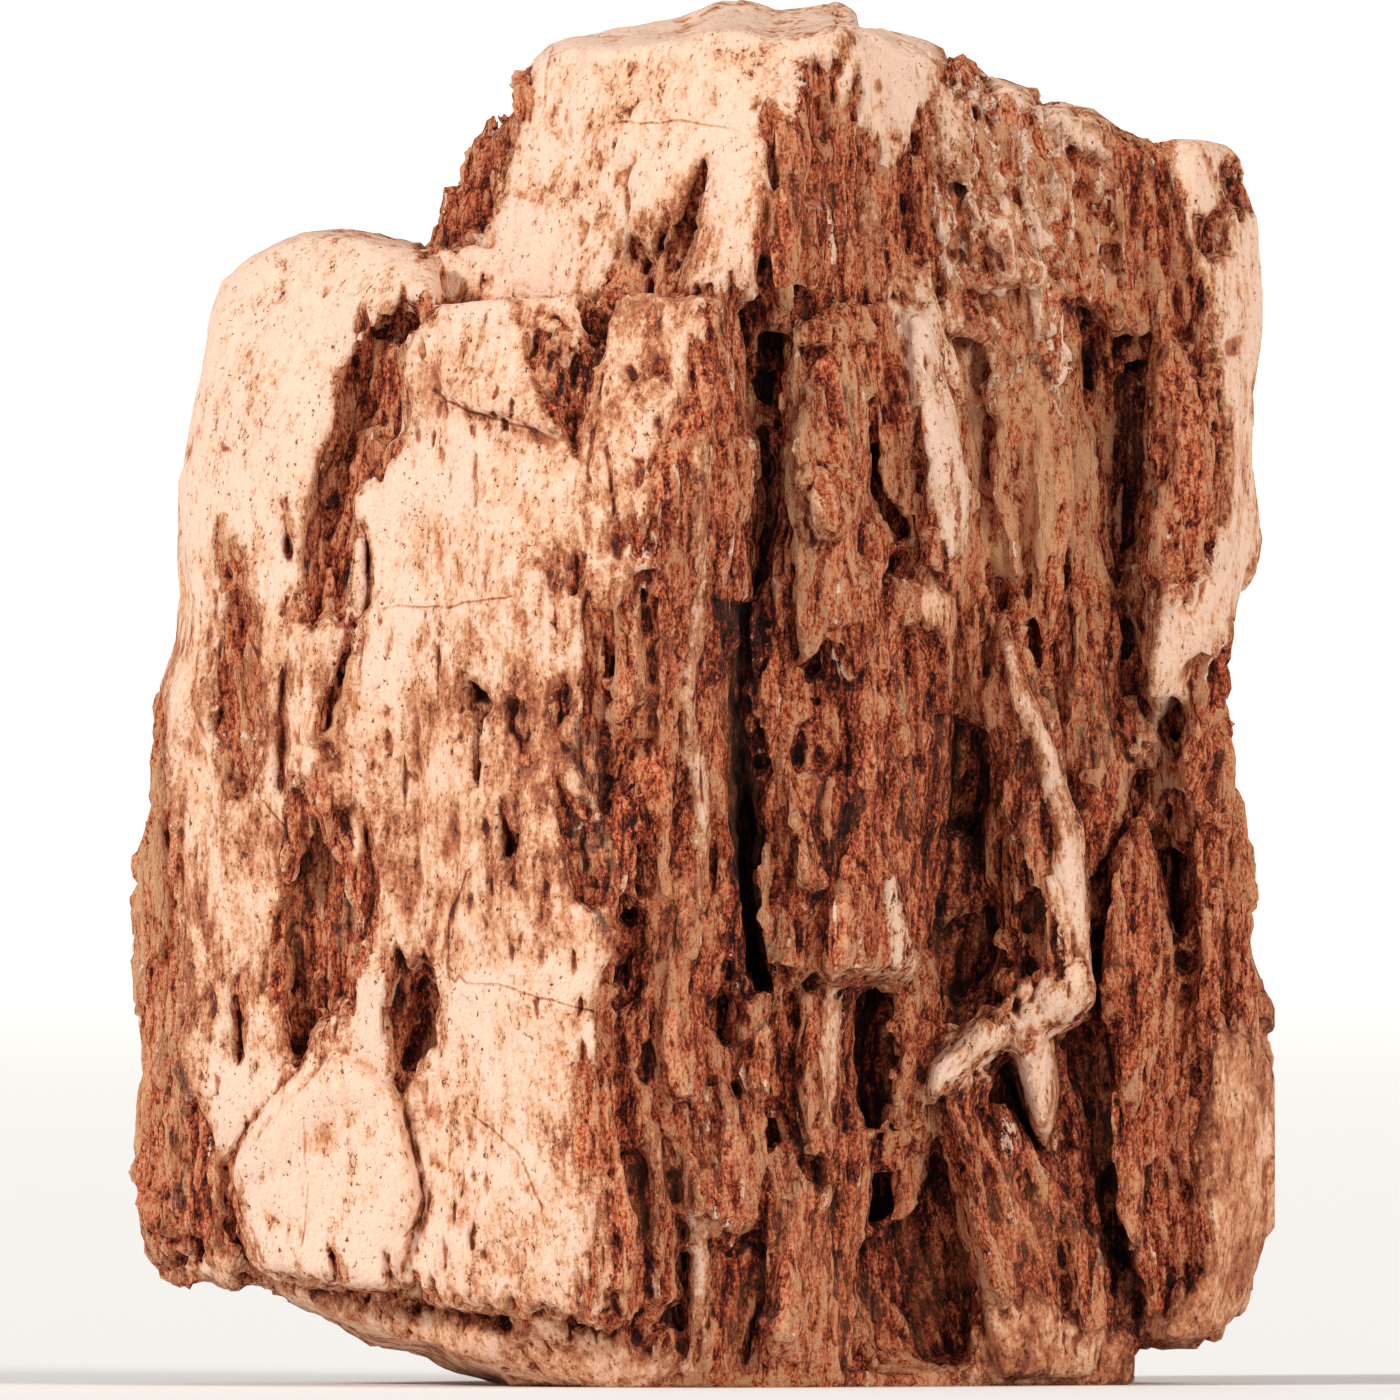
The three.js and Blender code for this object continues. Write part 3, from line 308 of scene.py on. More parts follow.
# Narrow channels: half their width in pixels, their depth in millimetres and the line they follow.
CHANNELS = {
    "twin_slot": (6, 2.0, [(364, 520), (370, 560), (373, 600), (366, 622)]),
    "left_slot_wall": (8, 1.2, [(247, 590), (255, 680), (257, 745)]),
    "thin_slot": (5, 1.8, [(285, 490), (289, 540), (293, 590), (286, 630)]),
    "side_slot": (9, 1.8, [(289, 658), (284, 720), (283, 795)]),
    "rust_lens": (8, 1.5, [(370, 822), (374, 880), (371, 938)]),
    "gutter": (13, 1.6, [(425, 958), (420, 1020), (408, 1080)]),
    "low_slot": (9, 1.7, [(240, 972), (244, 1020), (239, 1066)]),
    "slab_lens": (7, 1.5, [(508, 700), (515, 730), (528, 762)]),
    "slab_lens_low": (8, 1.4, [(504, 800), (512, 850), (521, 892)]),
    "lobe_band": (6, 1.4, [(310, 1058), (275, 1093), (250, 1122), (240, 1146), (229, 1168), (229, 1190), (257, 1262)]),
    "foot_crack": (5, 1.1, [(405, 1110), (420, 1170), (424, 1200), (406, 1240), (400, 1286)]),
    "slab_crack": (4, 0.9, [(471, 866), (452, 920), (446, 974)]),
    "edge_notch": (7, 1.8, [(330, 1246), (340, 1276)]),
    "edge_notch_right": (7, 2.0, [(386, 1248), (392, 1294)]),
    "tower_rim_slot": (8, 1.6, [(491, 122), (471, 180), (463, 240)]),
    "slab_pit": (8, 1.6, [(631, 366), (640, 386)]),
    "flank_slot": (8, 1.6, [(150, 1078), (163, 1150), (181, 1234)]),
    "recess_slot": (5, 1.4, [(546, 343), (558, 390), (566, 426)]),
    "recess_slot_right": (4, 1.1, [(577, 343), (570, 400)]),
    "face_dimple": (6, 1.0, [(196, 424), (198, 440)]),
    "face_dimple_low": (6, 1.0, [(225, 446), (232, 454)]),
    "ridge_slot": (6, 2.2, [(657, 600), (656, 700), (651, 788)]),
    "ridge_slot_low": (7, 2.4, [(631, 850), (634, 920), (627, 988)]),
    "chasm_head": (12, 4.0, [(762, 430), (773, 500), (763, 560), (750, 602)]),
    "chasm": (15, 5.0, [(741, 606), (731, 700), (737, 800), (747, 900), (752, 992)]),
    "seam_slot": (8, 2.0, [(712, 828), (713, 900)]),
    "chasm_foot": (15, 2.8, [(722, 962), (720, 1020), (729, 1098)]),
    "ridge_pocket": (8, 2.6, [(650, 1040), (650, 1090)]),
    "ridge_pocket_low": (6, 2.2, [(645, 1150), (646, 1200)]),
    "foot_slot": (12, 3.2, [(681, 1216), (683, 1280), (680, 1350)]),
    "column_slot": (7, 2.8, [(757, 1100), (761, 1180), (757, 1250)]),
    "ledge_pocket": (17, 1.6, [(863, 984), (858, 1050), (861, 1118)]),
    "black_pocket": (12, 4.0, [(873, 1142), (875, 1185), (871, 1230)]),
    "tooth_shade": (11, 2.4, [(1008, 1066), (1018, 1108), (1036, 1146)]),
    "shoulder_slot": (7, 2.4, [(1087, 150), (1089, 232)]),
    "black_slot": (12, 3.2, [(1080, 302), (1086, 360), (1091, 422)]),
    "long_maroon_slot": (13, 0.9, [(1124, 376), (1132, 450), (1128, 520), (1120, 598)]),
    "long_maroon_foot": (13, 1.7, [(1126, 600), (1122, 680), (1114, 758)]),
    "right_groove": (11, 2.4, [(1178, 828), (1181, 900), (1178, 1000), (1175, 1100), (1171, 1192)]),
    "shield_slot": (10, 3.0, [(868, 400), (871, 460), (866, 520)]),
    "strip_slot": (5, 1.8, [(917, 405), (922, 460), (918, 516)]),
    "flap_slot": (8, 2.4, [(1002, 560), (996, 620), (985, 690)]),
    "cap_slot": (7, 2.0, [(806, 92), (812, 150), (806, 200)]),
    "cap_slot_right": (6, 2.0, [(856, 60), (850, 130)]),
}
# Wide hollows: depth in millimetres and outline.
HOLLOWS = {
    "under_flap": (3.4, [(926, 702), (1000, 722), (1010, 800), (1016, 900), (1000, 985), (950, 1018), (926, 960), (914, 850)]),
    "smooth_recess": (2.6, [(860, 1132), (925, 1116), (952, 1165), (985, 1300), (975, 1372), (872, 1372), (846, 1290)]),
    "slab_recess": (1.0, [(534, 336), (562, 344), (578, 400), (568, 442), (547, 430), (536, 380)]),
}
# The deepest that the large slots may be, in millimetres; their outlines are among the rust areas.
SLOT_FLOORS = {
    "main_slot": 3.0, "left_slot": 2.6, "cave": 4.0, "lens": 2.4, "tower_slot": 1.5, "tower_slot_left": 1.4,
    "ridge_notch": 1.6, "cap_lens": 1.3, "black_slot": 4.0, "maroon_slot": 2.2, "rib_hollow": 0.9,
}
# Forms that broken fibres cross only lightly.
CALM_AREAS = {
    "shield": [(798, 345), (855, 333), (874, 380), (868, 440), (852, 478), (808, 462), (792, 400)],
    "lit_plate": [(882, 298), (945, 298), (988, 480), (976, 584), (938, 604), (912, 520), (902, 400)],
    "ledge": [(752, 780), (800, 768), (902, 780), (924, 850), (926, 976), (824, 988), (758, 978)],
    "flap": [
        (980, 592), (1052, 690), (1096, 840), (1098, 1004), (1040, 1062), (916, 1122), (928, 1058), (1030, 978),
        (1040, 880), (1008, 700),
    ],
    "tooth": [(1003, 1048), (1062, 1036), (1062, 1140), (1030, 1152)],
    "strip_foot": [(895, 572), (960, 578), (960, 634), (900, 634)],
    "cap_lens": [(1144, 140), (1180, 150), (1216, 374), (1190, 384), (1150, 260)],
    "seam": [
        (684, 440), (712, 440), (713, 600), (701, 700), (717, 800), (716, 906), (694, 906), (688, 800), (673, 700),
        (688, 600),
    ],
    "slanting_rib": [(920, 1090), (968, 1082), (1062, 1290), (992, 1344), (974, 1300)],
    "column": [(772, 985), (832, 985), (828, 1150), (790, 1150)],
}
# The shoulder at the top right, where the stone breaks into knobs instead of splinters.
KNOBBY_AREA = [(900, 60), (1030, 70), (1120, 110), (1130, 260), (1070, 420), (960, 420), (930, 300), (905, 200)]
# Splinters that stand out most at their lower end: half their width, their lift and the line they follow.
SPLINTERS = {
    "long_splinter": (17, 2.0, [(772, 698), (790, 790), (812, 876)]),
    "lump_under_it": (18, 2.2, [(779, 904), (785, 972)]),
    "column_left": (9, 2.2, [(751, 988), (757, 1050), (762, 1110)]),
    "column_middle": (14, 2.0, [(806, 990), (812, 1070), (819, 1150)]),
    "column_foot": (18, 2.0, [(773, 1152), (780, 1240), (778, 1338)]),
    "ridge_foot": (15, 1.8, [(613, 1104), (628, 1200), (633, 1308)]),
    "slanting_rib": (11, 2.4, [(948, 1090), (974, 1190), (1003, 1292)]),
    "flap_lip": (24, 1.8, [(922, 1094), (975, 1058), (1040, 1020), (1090, 980)]),
    "tooth": (17, 1.0, [(1043, 1136), (1036, 1080), (1030, 1046)]),
    "ledge_rib": (11, 1.5, [(893, 690), (902, 740), (906, 778)]),
    "ledge_rib_left": (13, 1.5, [(846, 610), (856, 700), (864, 782)]),
    "strip_rib": (9, 1.3, [(906, 636), (912, 704)]),
    "seam_rib": (10, 0.8, [(696, 440), (701, 560), (686, 700), (700, 790), (704, 900)]),
    "shoulder_rib": (13, 1.6, [(998, 400), (1004, 490), (1016, 570)]),
    "shoulder_rib_right": (12, 1.7, [(1056, 420), (1072, 560), (1080, 684)]),
    "right_rib": (12, 1.6, [(1112, 800), (1120, 900), (1116, 1010)]),
    "right_rib_low": (13, 1.7, [(1094, 1060), (1104, 1150), (1100, 1215)]),
    "top_rib": (12, 1.5, [(966, 170), (976, 240), (980, 300)]),
    "top_rib_right": (12, 1.5, [(1022, 160), (1036, 240), (1040, 330)]),
}
# Where the crust is worn thin: how much, and the outline.
WORN_AREAS = {
    "slot_shoulder": (0.9, [(404, 306), (440, 296), (505, 340), (525, 445), (470, 436), (436, 380)]),
    "slab_stain": (1.3, [(438, 600), (520, 548), (600, 556), (602, 630), (548, 700), (470, 730), (440, 700)]),
    "tan_strip": (1.5, [(424, 640), (452, 640), (452, 755), (428, 750)]),
    "slab_low": (1.6, [(476, 700), (572, 690), (590, 900), (560, 965), (466, 900)]),
    "left_low": (1.0, [(180, 800), (300, 820), (290, 1060), (196, 1060)]),
    "cave_shoulder": (1.1, [(300, 690), (420, 790), (446, 960), (400, 1100), (330, 1060)]),
    "by_the_ridge": (1.3, [(596, 336), (716, 296), (708, 380), (646, 545), (604, 610), (560, 520)]),
    "tower_foot": (0.7, [(540, 215), (745, 215), (745, 300), (570, 335)]),
    "tower_edge": (0.8, [(770, 20), (842, 16), (806, 124), (752, 138)]),
    "tower_left": (0.8, [(500, 70), (560, 60), (560, 210), (495, 230)]),
    "foot_block": (0.6, [(410, 1090), (590, 1090), (590, 1310), (420, 1300)]),
    "face_top": (0.4, [(200, 300), (350, 250), (340, 420), (200, 460)]),
    "lit_strip": (1.35, [(890, 340), (950, 380), (985, 500), (970, 570), (920, 540), (905, 400)]),
    "cap_patch": (0.5, [(842, 80), (905, 70), (905, 160), (870, 165)]),
    "right_band_top": (0.6, [(1198, 150), (1264, 158), (1268, 220), (1238, 268), (1192, 262)]),
    "right_band_spot": (1.5, [(1190, 286), (1216, 290), (1214, 322), (1194, 318)]),
    "right_band_middle": (0.9, [(1196, 400), (1244, 400), (1240, 566), (1200, 566)]),
    "right_column": (1.1, [(1200, 640), (1250, 640), (1250, 1010), (1200, 1010)]),
    "left_rim": (1.0, [(150, 560), (190, 560), (186, 800), (150, 800)]),
}
# Hair cracks in the crust.
HAIR_CRACKS = [
    [(392, 972), (450, 979), (500, 984), (562, 1001), (604, 1016)],
    [(470, 860), (452, 920), (446, 974)],
    [(376, 608), (400, 607), (432, 610), (470, 604), (520, 596)],
    [(434, 386), (446, 404), (480, 414), (516, 426), (545, 434)],
    [(360, 560), (342, 566), (330, 580)],
    [(404, 1104), (420, 1170), (425, 1202), (404, 1244)],
    [(552, 30), (548, 70), (545, 112)],
    [(610, 126), (680, 121), (742, 132)],
    [(262, 800), (300, 842), (300, 900)],
    [(470, 1112), (520, 1150), (548, 1215)],
    [(300, 1110), (312, 1180), (300, 1250)],
]


def near(shape, px, py, margin):
    """The numbers of the points within a shape's box and a margin round it."""
    xs, ys = zip(*shape)
    across = (px > min(xs) - margin) & (px < max(xs) + margin)
    return np.flatnonzero(across & (py > min(ys) - margin) & (py < max(ys) + margin))


def distance_into(outline, px, py, reach=60):
    """How far inside the outline each point is, in pixels; outside counts below zero, down to the reach."""
    result = np.full(len(px), -float(reach))
    rows = near(outline, px, py, reach)
    px, py = px[rows], py[rows]
    inside = np.zeros(len(px), bool)
    nearest = np.full(len(px), 1e9)
    for (ax, ay), (bx, by) in zip(outline, outline[1:] + outline[:1]):
        ex, ey = bx - ax, by - ay
        share = np.clip(((px - ax) * ex + (py - ay) * ey) / (ex * ex + ey * ey), 0, 1)
        nearest = np.minimum(nearest, np.hypot(px - ax - share * ex, py - ay - share * ey))
        crosses = (ay > py) != (by > py)
        if ey:
            inside ^= crosses & (px < ax + (py - ay) * ex / ey)
    result[rows] = np.where(inside, nearest, np.maximum(-nearest, -reach))
    return result


def distance_from_line(line, px, py):
    """How far each point is from a line, how far down the line it lies from 0 to 1, and on which side."""
    nearest = np.full(len(px), 1e9)
    along = np.zeros(len(px))
    side = np.ones(len(px))
    for index, ((ax, ay), (bx, by)) in enumerate(zip(line, line[1:])):
        ex, ey = bx - ax, by - ay
        share = np.clip(((px - ax) * ex + (py - ay) * ey) / (ex * ex + ey * ey), 0, 1)
        gap = np.hypot(px - ax - share * ex, py - ay - share * ey)
        closer = gap < nearest
        nearest = np.where(closer, gap, nearest)
        along = np.where(closer, (index + share) / (len(line) - 1), along)
        side = np.where(closer, np.where((px - ax) * ey > (py - ay) * ex, 1.0, -1.0), side)
    return nearest, along, side


def photo_place(points):
    return points[:, 0] / MM_PER_PX + MIDDLE_PX, BASE_PX - points[:, 2] / MM_PER_PX


# ---- mesh tools ---------------------------------------------------------------------------------

def points_of(mesh):
    flat = np.empty(len(mesh.vertices) * 3, np.float32)
    mesh.vertices.foreach_get("co", flat)
    return flat.reshape(-1, 3).astype(float) * 1000


def normals_of(mesh):
    flat = np.empty(len(mesh.vertices) * 3, np.float32)
    mesh.vertices.foreach_get("normal", flat)
    return flat.reshape(-1, 3).astype(float)


def move_points(mesh, points):
    mesh.vertices.foreach_set("co", (points / 1000).astype(np.float32).ravel())
    mesh.update()


def apply_modifier(obj, kind, **settings):
    """Adds one modifier, makes its result the object's mesh, and takes the modifier off."""
    modifier = obj.modifiers.new(kind.lower(), kind)
    for name, value in settings.items():
        setattr(modifier, name, value)
    bpy.context.view_layer.update()
    made = bpy.data.meshes.new_from_object(obj.evaluated_get(bpy.context.evaluated_depsgraph_get()))
    obj.modifiers.clear()
    old = obj.data
    obj.data = made
    bpy.data.meshes.remove(old)


def smoothed(obj, repeat):
    """The points and normals of the object after smoothing, in the same order; the object keeps its shape."""
    modifier = obj.modifiers.new("smooth", "SMOOTH")
    modifier.factor = 0.5
    modifier.iterations = repeat
    bpy.context.view_layer.update()
    mesh = obj.evaluated_get(bpy.context.evaluated_depsgraph_get()).to_mesh()
    points, normals = points_of(mesh), normals_of(mesh)
    obj.modifiers.clear()
    return points, normals


# ---- the stone's skin -----------------------------------------------------------------------------

def front_share(points, normals):
    """1 where the front view shows the surface, 0 on the back, with a soft change on the flanks."""
    return smooth_step(0.3, -0.2, normals[:, 1] + 0.012 * (points[:, 1] - 6))


def wavy(points):
    """The points shifted sideways by slow waves, so that fibres drawn over them bend as grown ones do."""
    px, py = photo_place(points)
    top_right = smooth_step(700, 300, py) * smooth_step(760, 1000, px)
    slanting = smooth_step(1030, 1120, py) * smooth_step(880, 950, px) * smooth_step(1090, 1030, px)
    moved = points.copy()
    moved[:, 0] += 2.0 * grain.soft(points, (30, 30, 26)) + 0.5 * second_grain.soft(points, (7, 7, 12))
    moved[:, 1] += 2.0 * second_grain.soft(points, (26, 26, 24)) + 0.5 * grain.soft(points + 70, (7, 7, 12))
    moved[:, 0] += 0.12 * top_right * (points[:, 2] - 105) + 0.27 * slanting * (points[:, 2] - 20)
    return moved


def frayed(bent):
    """The waving coordinates torn a little from side to side, so that splinters get ragged edges."""
    torn = bent.copy()
    torn[:, 0] += 0.35 * grain.layered(bent + 11, (2.2, 2.2, 8), 3)
    torn[:, 1] += 0.35 * second_grain.layered(bent + 23, (2.2, 2.2, 8), 3)
    torn[:, 2] += 2.5 * grain.layered(bent + 31, (2.2, 2.2, 9), 2)
    return torn


def crust_field(points, normals):
    """How thick the pale crust is, in about millimetres; below zero it is gone."""
    px, py = photo_place(points)
    streaks = grain.layered(points, (2.2, 2.2, 9), 3)
    blots = second_grain.layered(points, (7, 7, 11), 3)
    wx, wy = px + 9 * streaks + 8 * blots, py + 20 * streaks
    pale = np.full(len(points), -60.0)
    for outline in PALE_AREAS.values():
        pale = np.maximum(pale, distance_into(outline, wx, wy))
    for width, line in PALE_SEAMS.values():
        rows = near(line, px, py, 60)
        gap = distance_from_line(line, px[rows] + 3 * streaks[rows], py[rows])[0]
        uneven = 0.5 * width * (0.95 + 0.9 * blots[rows])
        pale[rows] = np.maximum(pale[rows], uneven - gap)
    for outline in RUST_AREAS.values():
        pale = np.minimum(pale, -distance_into(outline, wx, wy))
    front = np.clip(pale / 10, -2.5, 1.7)
    for strength, outline in WORN_AREAS.values():
        front -= strength * smooth_step(-25, 25, distance_into(outline, wx, wy)) * (0.6 + 0.8 * streaks)
    hidden = 2.2 * second_grain.layered(points + 90, (34, 34, 44), 3) + 0.9 * streaks
    hidden += 1.0 * smooth_step(0.2, 0.8, normals[:, 2]) - 0.25
    share = front_share(points, normals)
    return share * front + (1 - share) * np.clip(hidden, -2.5, 1.7)


def drawn_forms(points, share):
    """How far the drawn channels, hollows and splinters move the front away from the viewer, and how cut it is."""
    px, py = photo_place(points)
    px = px + 3.0 * grain.soft(points, (5, 5, 8)) + 2.5 * second_grain.soft(points, (1.6, 1.6, 4))
    rag = 1 + 0.45 * grain.layered(points, (1.8, 1.8, 3.5), 2)
    deep = np.zeros(len(points))
    for half, depth, line in CHANNELS.values():
        rows = near(line, px, py, half)
        gap, along, side = distance_from_line(line, px[rows], py[rows])
        reach = half * rag[rows] * (0.3 + 0.7 * np.sin(np.pi * np.clip(along, 0.02, 0.98)) ** 0.7)
        deep[rows] = np.maximum(deep[rows], depth * smooth_step(1.1, 0.25, gap / reach))
    for depth, outline in HOLLOWS.values():
        deep = np.maximum(deep, depth * smooth_step(0, 14, distance_into(outline, px, py)))
    cut = smooth_step(0.3, 1.6, deep)
    for half, lift, line in SPLINTERS.values():
        rows = near(line, px, py, half)
        gap, along, side = distance_from_line(line, px[rows], py[rows])
        reach = half * rag[rows] * (0.45 + 0.55 * np.sqrt(along))
        deep[rows] -= lift * (0.4 + 0.6 * along) * smooth_step(1, 0.55, gap / reach)
    return deep * share, cut * share


def calm_and_knobby(points, share):
    """How calm the drawn forms keep each point, and how knobby the top right shoulder makes it."""
    px, py = photo_place(points)
    calm = np.zeros(len(points))
    for outline in CALM_AREAS.values():
        calm = np.maximum(calm, smooth_step(-6, 8, distance_into(outline, px, py)))
    knobby = smooth_step(-22, 22, distance_into(KNOBBY_AREA, px, py))
    return calm * share, knobby * share


def raise_floors(points, share):
    """Brings the floors of the large slots to the depths they look to have; gives the depths of all points."""
    px, py = photo_place(points)
    depth = points[:, 1].copy()
    for name, floor in SLOT_FLOORS.items():
        into = distance_into(RUST_AREAS[name], px, py)
        rim = np.flatnonzero((into < -4) & (into > -16) & (share > 0.8))
        for turn in range(3):
            plane = np.column_stack([px[rim], py[rim], np.ones(len(rim))])
            slope = np.linalg.lstsq(plane, depth[rim], rcond=None)[0]
            off = np.abs(plane @ slope - depth[rim])
            rim = rim[off <= max(1.5, np.percentile(off, 70))]
        rows = np.flatnonzero((into > -4) & (share > 0.1))
        level = px[rows] * slope[0] + py[rows] * slope[1] + slope[2]
        below = np.maximum(depth[rows] - level, 0)
        least = 0.5 * floor * smooth_step(-2, 12, into[rows])
        raised = level + np.maximum(floor * np.tanh(below / floor), least)
        depth[rows] = np.where(below + least > 0, raised, depth[rows])
    return depth


def carve(obj):
    """First pass: drawn channels and splinters, the broken fibres of the rust stone, the swell of the crust."""
    mesh = obj.data
    points = points_of(mesh)
    even_points, even_normals = smoothed(obj, 40)
    hollow = ((even_points - points) * even_normals).sum(1)
    share = front_share(points, even_normals)
    deep, cut = drawn_forms(points, share)
    crust = crust_field(points, even_normals) - 1.6 * np.clip(hollow - 0.5, 0, 2)
    calm, knobby = calm_and_knobby(points, share)
    rough = smooth_step(0.7, -0.3, crust) * (1 - 0.75 * cut) * smooth_step(2.6, 0.8, hollow) * (1 - 0.6 * calm)
    bent = wavy(points)
    torn = frayed(bent)
    big, big_edge, big_low = grain.splinters(torn, BIG_SPLINTERS)
    small, small_edge, small_low = second_grain.splinters(torn, SMALL_SPLINTERS)
    crests = second_grain.ridged(bent, (1.5, 1.5, 16)) - 0.5
    gaps = smooth_step(-0.3, 0.2, second_grain.soft(points, (6, 6, 50)))
    fibre = 2.4 * (big - 0.5) + 1.2 * big_low + 1.3 * (small - 0.5) + 0.6 * small_low + 0.35 * crests
    fibre -= gaps * 2.2 * smooth_step(0.16, 0.04, big_edge)
    upright_edge = grain.splinters(torn + 60, UPRIGHT_GAPS)[1]
    fine_gaps = smooth_step(-0.2, 0.25, grain.soft(points + 15, (4, 4, 36)))
    fibre -= fine_gaps * 1.3 * smooth_step(0.24, 0.06, upright_edge)
    knobs = 2.0 * (0.5 - grain.ridged(points + 8, (4.2, 4.2, 5.6)))
    knobs += 0.9 * (0.5 - second_grain.ridged(points, (2.0, 2.0, 2.5)))
    fibre = fibre * (1 - 0.6 * knobby) + knobs * knobby
    flakes = grain.splinters(torn + 200, (12, 12, 24))[0]
    swell = 0.5 * grain.soft(points, (15, 15, 22)) + 0.2 * second_grain.layered(points, (5, 5, 9), 3)
    swell += 0.5 * (flakes - 0.5) + 0.3 * second_grain.ridged(bent, (5, 5, 34)) * smooth_step(1.5, 0.6, crust)
    move = rough * fibre + (1 - rough) * (1 - cut) * swell
    seat = smooth_step(0.3, 4, points[:, 2])
    moved = points + even_normals * (move * seat)[:, None]
    moved[:, 1] += deep * seat + raise_floors(points, share) - points[:, 1]
    move_points(mesh, moved)


def chisel(obj):
    """Second pass, on the even mesh: grains, pits and slits, and the step at the crust's edge."""
    mesh = obj.data
    points = points_of(mesh)
    even_points, even_normals = smoothed(obj, 25)
    hollow = ((even_points - points) * even_normals).sum(1)
    crust = crust_field(points, even_normals) - 1.6 * np.clip(hollow - 0.5, 0, 2)
    rough = smooth_step(0.35, -0.15, crust)
    sheltered = smooth_step(2.4, 0.6, hollow)
    bent = wavy(points)
    cells = grain.splinters(frayed(bent), (1.3, 1.3, 8))[0]
    fibres = second_grain.ridged(bent, (1.0, 1.0, 6)) - 0.5
    crumbs = grain.layered(points, (1.4, 1.4, 2.0), 2)
    slits = smooth_step(0.38, 0.6, grain.soft(bent, (1.2, 1.2, 6)))
    pits = smooth_step(0.42, 0.7, second_grain.soft(points, (1.7, 1.7, 2.4)))
    patchy = smooth_step(-0.1, 0.5, grain.soft(points, (13, 13, 18)))
    move = rough * (0.3 + 0.7 * sheltered) * (0.45 * (cells - 0.5) + 0.35 * fibres + 0.2 * crumbs)
    move += (1 - rough) * (0.35 - 0.6 * slits * patchy - 0.3 * pits * patchy + 0.06 * crumbs)
    seat = smooth_step(0.2, 2, points[:, 2])
    move_points(mesh, points + even_normals * (move * seat)[:, None])


def keep_inside_box(obj):
    """The stone keeps the box of its solid, and its seat stays flat on the floor."""
    low, high = (np.array(corner) * 1000 for corner in cad_box)
    points = points_of(obj.data)
    points = np.clip(points, low - [0.6, 0.6, 0], high + 0.6)
    move_points(obj.data, points)


def write_value(mesh, name, values):
    layer = mesh.attributes.new(name, "FLOAT", "POINT")
    layer.data.foreach_set("value", values.astype(np.float32))


def openness(mesh, points, normals, rays=20, reach_mm=14):
    """How much of the room in front of each point is free of stone, from 0 to 1."""
    tree = BVHTree.FromPolygons((points / 1000).tolist(), [tuple(face.vertices) for face in mesh.polygons])
    turn = math.pi * (3 - math.sqrt(5))
    free = np.zeros(len(points))
    start = (points + normals * 0.12) / 1000
    upright = np.abs(normals[:, 2:]) < 0.9
    side = np.cross(normals, np.where(upright, [0.0, 0.0, 1.0], [1.0, 0.0, 0.0]))
    side /= np.linalg.norm(side, axis=1)[:, None]
    other = np.cross(normals, side)
    starts = [Vector(place) for place in start.tolist()]
    for ray in range(rays):
        lift = math.sqrt((ray + 0.5) / rays)
        flat = math.sqrt(1 - lift * lift)
        ways = side * flat * math.cos(turn * ray) + other * flat * math.sin(turn * ray) + normals * lift
        hits = [tree.ray_cast(place, way, reach_mm / 1000)[3] for place, way in zip(starts, ways.tolist())]
        free += np.array([1.0 if hit is None else (hit * 1000 / reach_mm) ** 0.7 * 0.6 for hit in hits])
    return free / rays


def crack_lines(points, share):
    """The side-signed distance to the nearest hair crack in millimetres, and where one is."""
    px, py = photo_place(points)
    px = px + 4 * grain.layered(points, (4, 4, 5), 3)
    py = py + 4 * second_grain.layered(points, (4, 4, 5), 3)
    signed = np.full(len(points), 3.0)
    where = np.zeros(len(points))
    for line in HAIR_CRACKS:
        rows = near(line, px, py, 25)
        gap, along, side = distance_from_line(line, px[rows], py[rows])
        closer = gap / 10 < np.abs(signed[rows])
        signed[rows] = np.where(closer, side * gap / 10, signed[rows])
        ends = smooth_step(0.0, 0.06, along) * smooth_step(1.0, 0.94, along)
        where[rows] = np.where(closer, ends * smooth_step(20, 10, gap), where[rows])
    return signed, where * share


def drop_loose_crumbs(obj):
    """Only the stone itself stays; crumbs and bubbles that the even mesh has cut free go."""
    shape = bmesh.new()
    shape.from_mesh(obj.data)
    left = set(shape.verts)
    islands = []
    while left:
        rim = [left.pop()]
        island = list(rim)
        while rim:
            for edge in rim.pop().link_edges:
                for vert in edge.verts:
                    if vert in left:
                        left.discard(vert)
                        rim.append(vert)
                        island.append(vert)
        islands.append(island)
    islands.sort(key=len)
    crumbs = [vert for island in islands[:-1] for vert in island]
    bmesh.ops.delete(shape, geom=crumbs, context="VERTS")
    shape.to_mesh(obj.data)
    shape.free()
    print("islands", [len(island) for island in islands[-4:]], "of", len(islands))


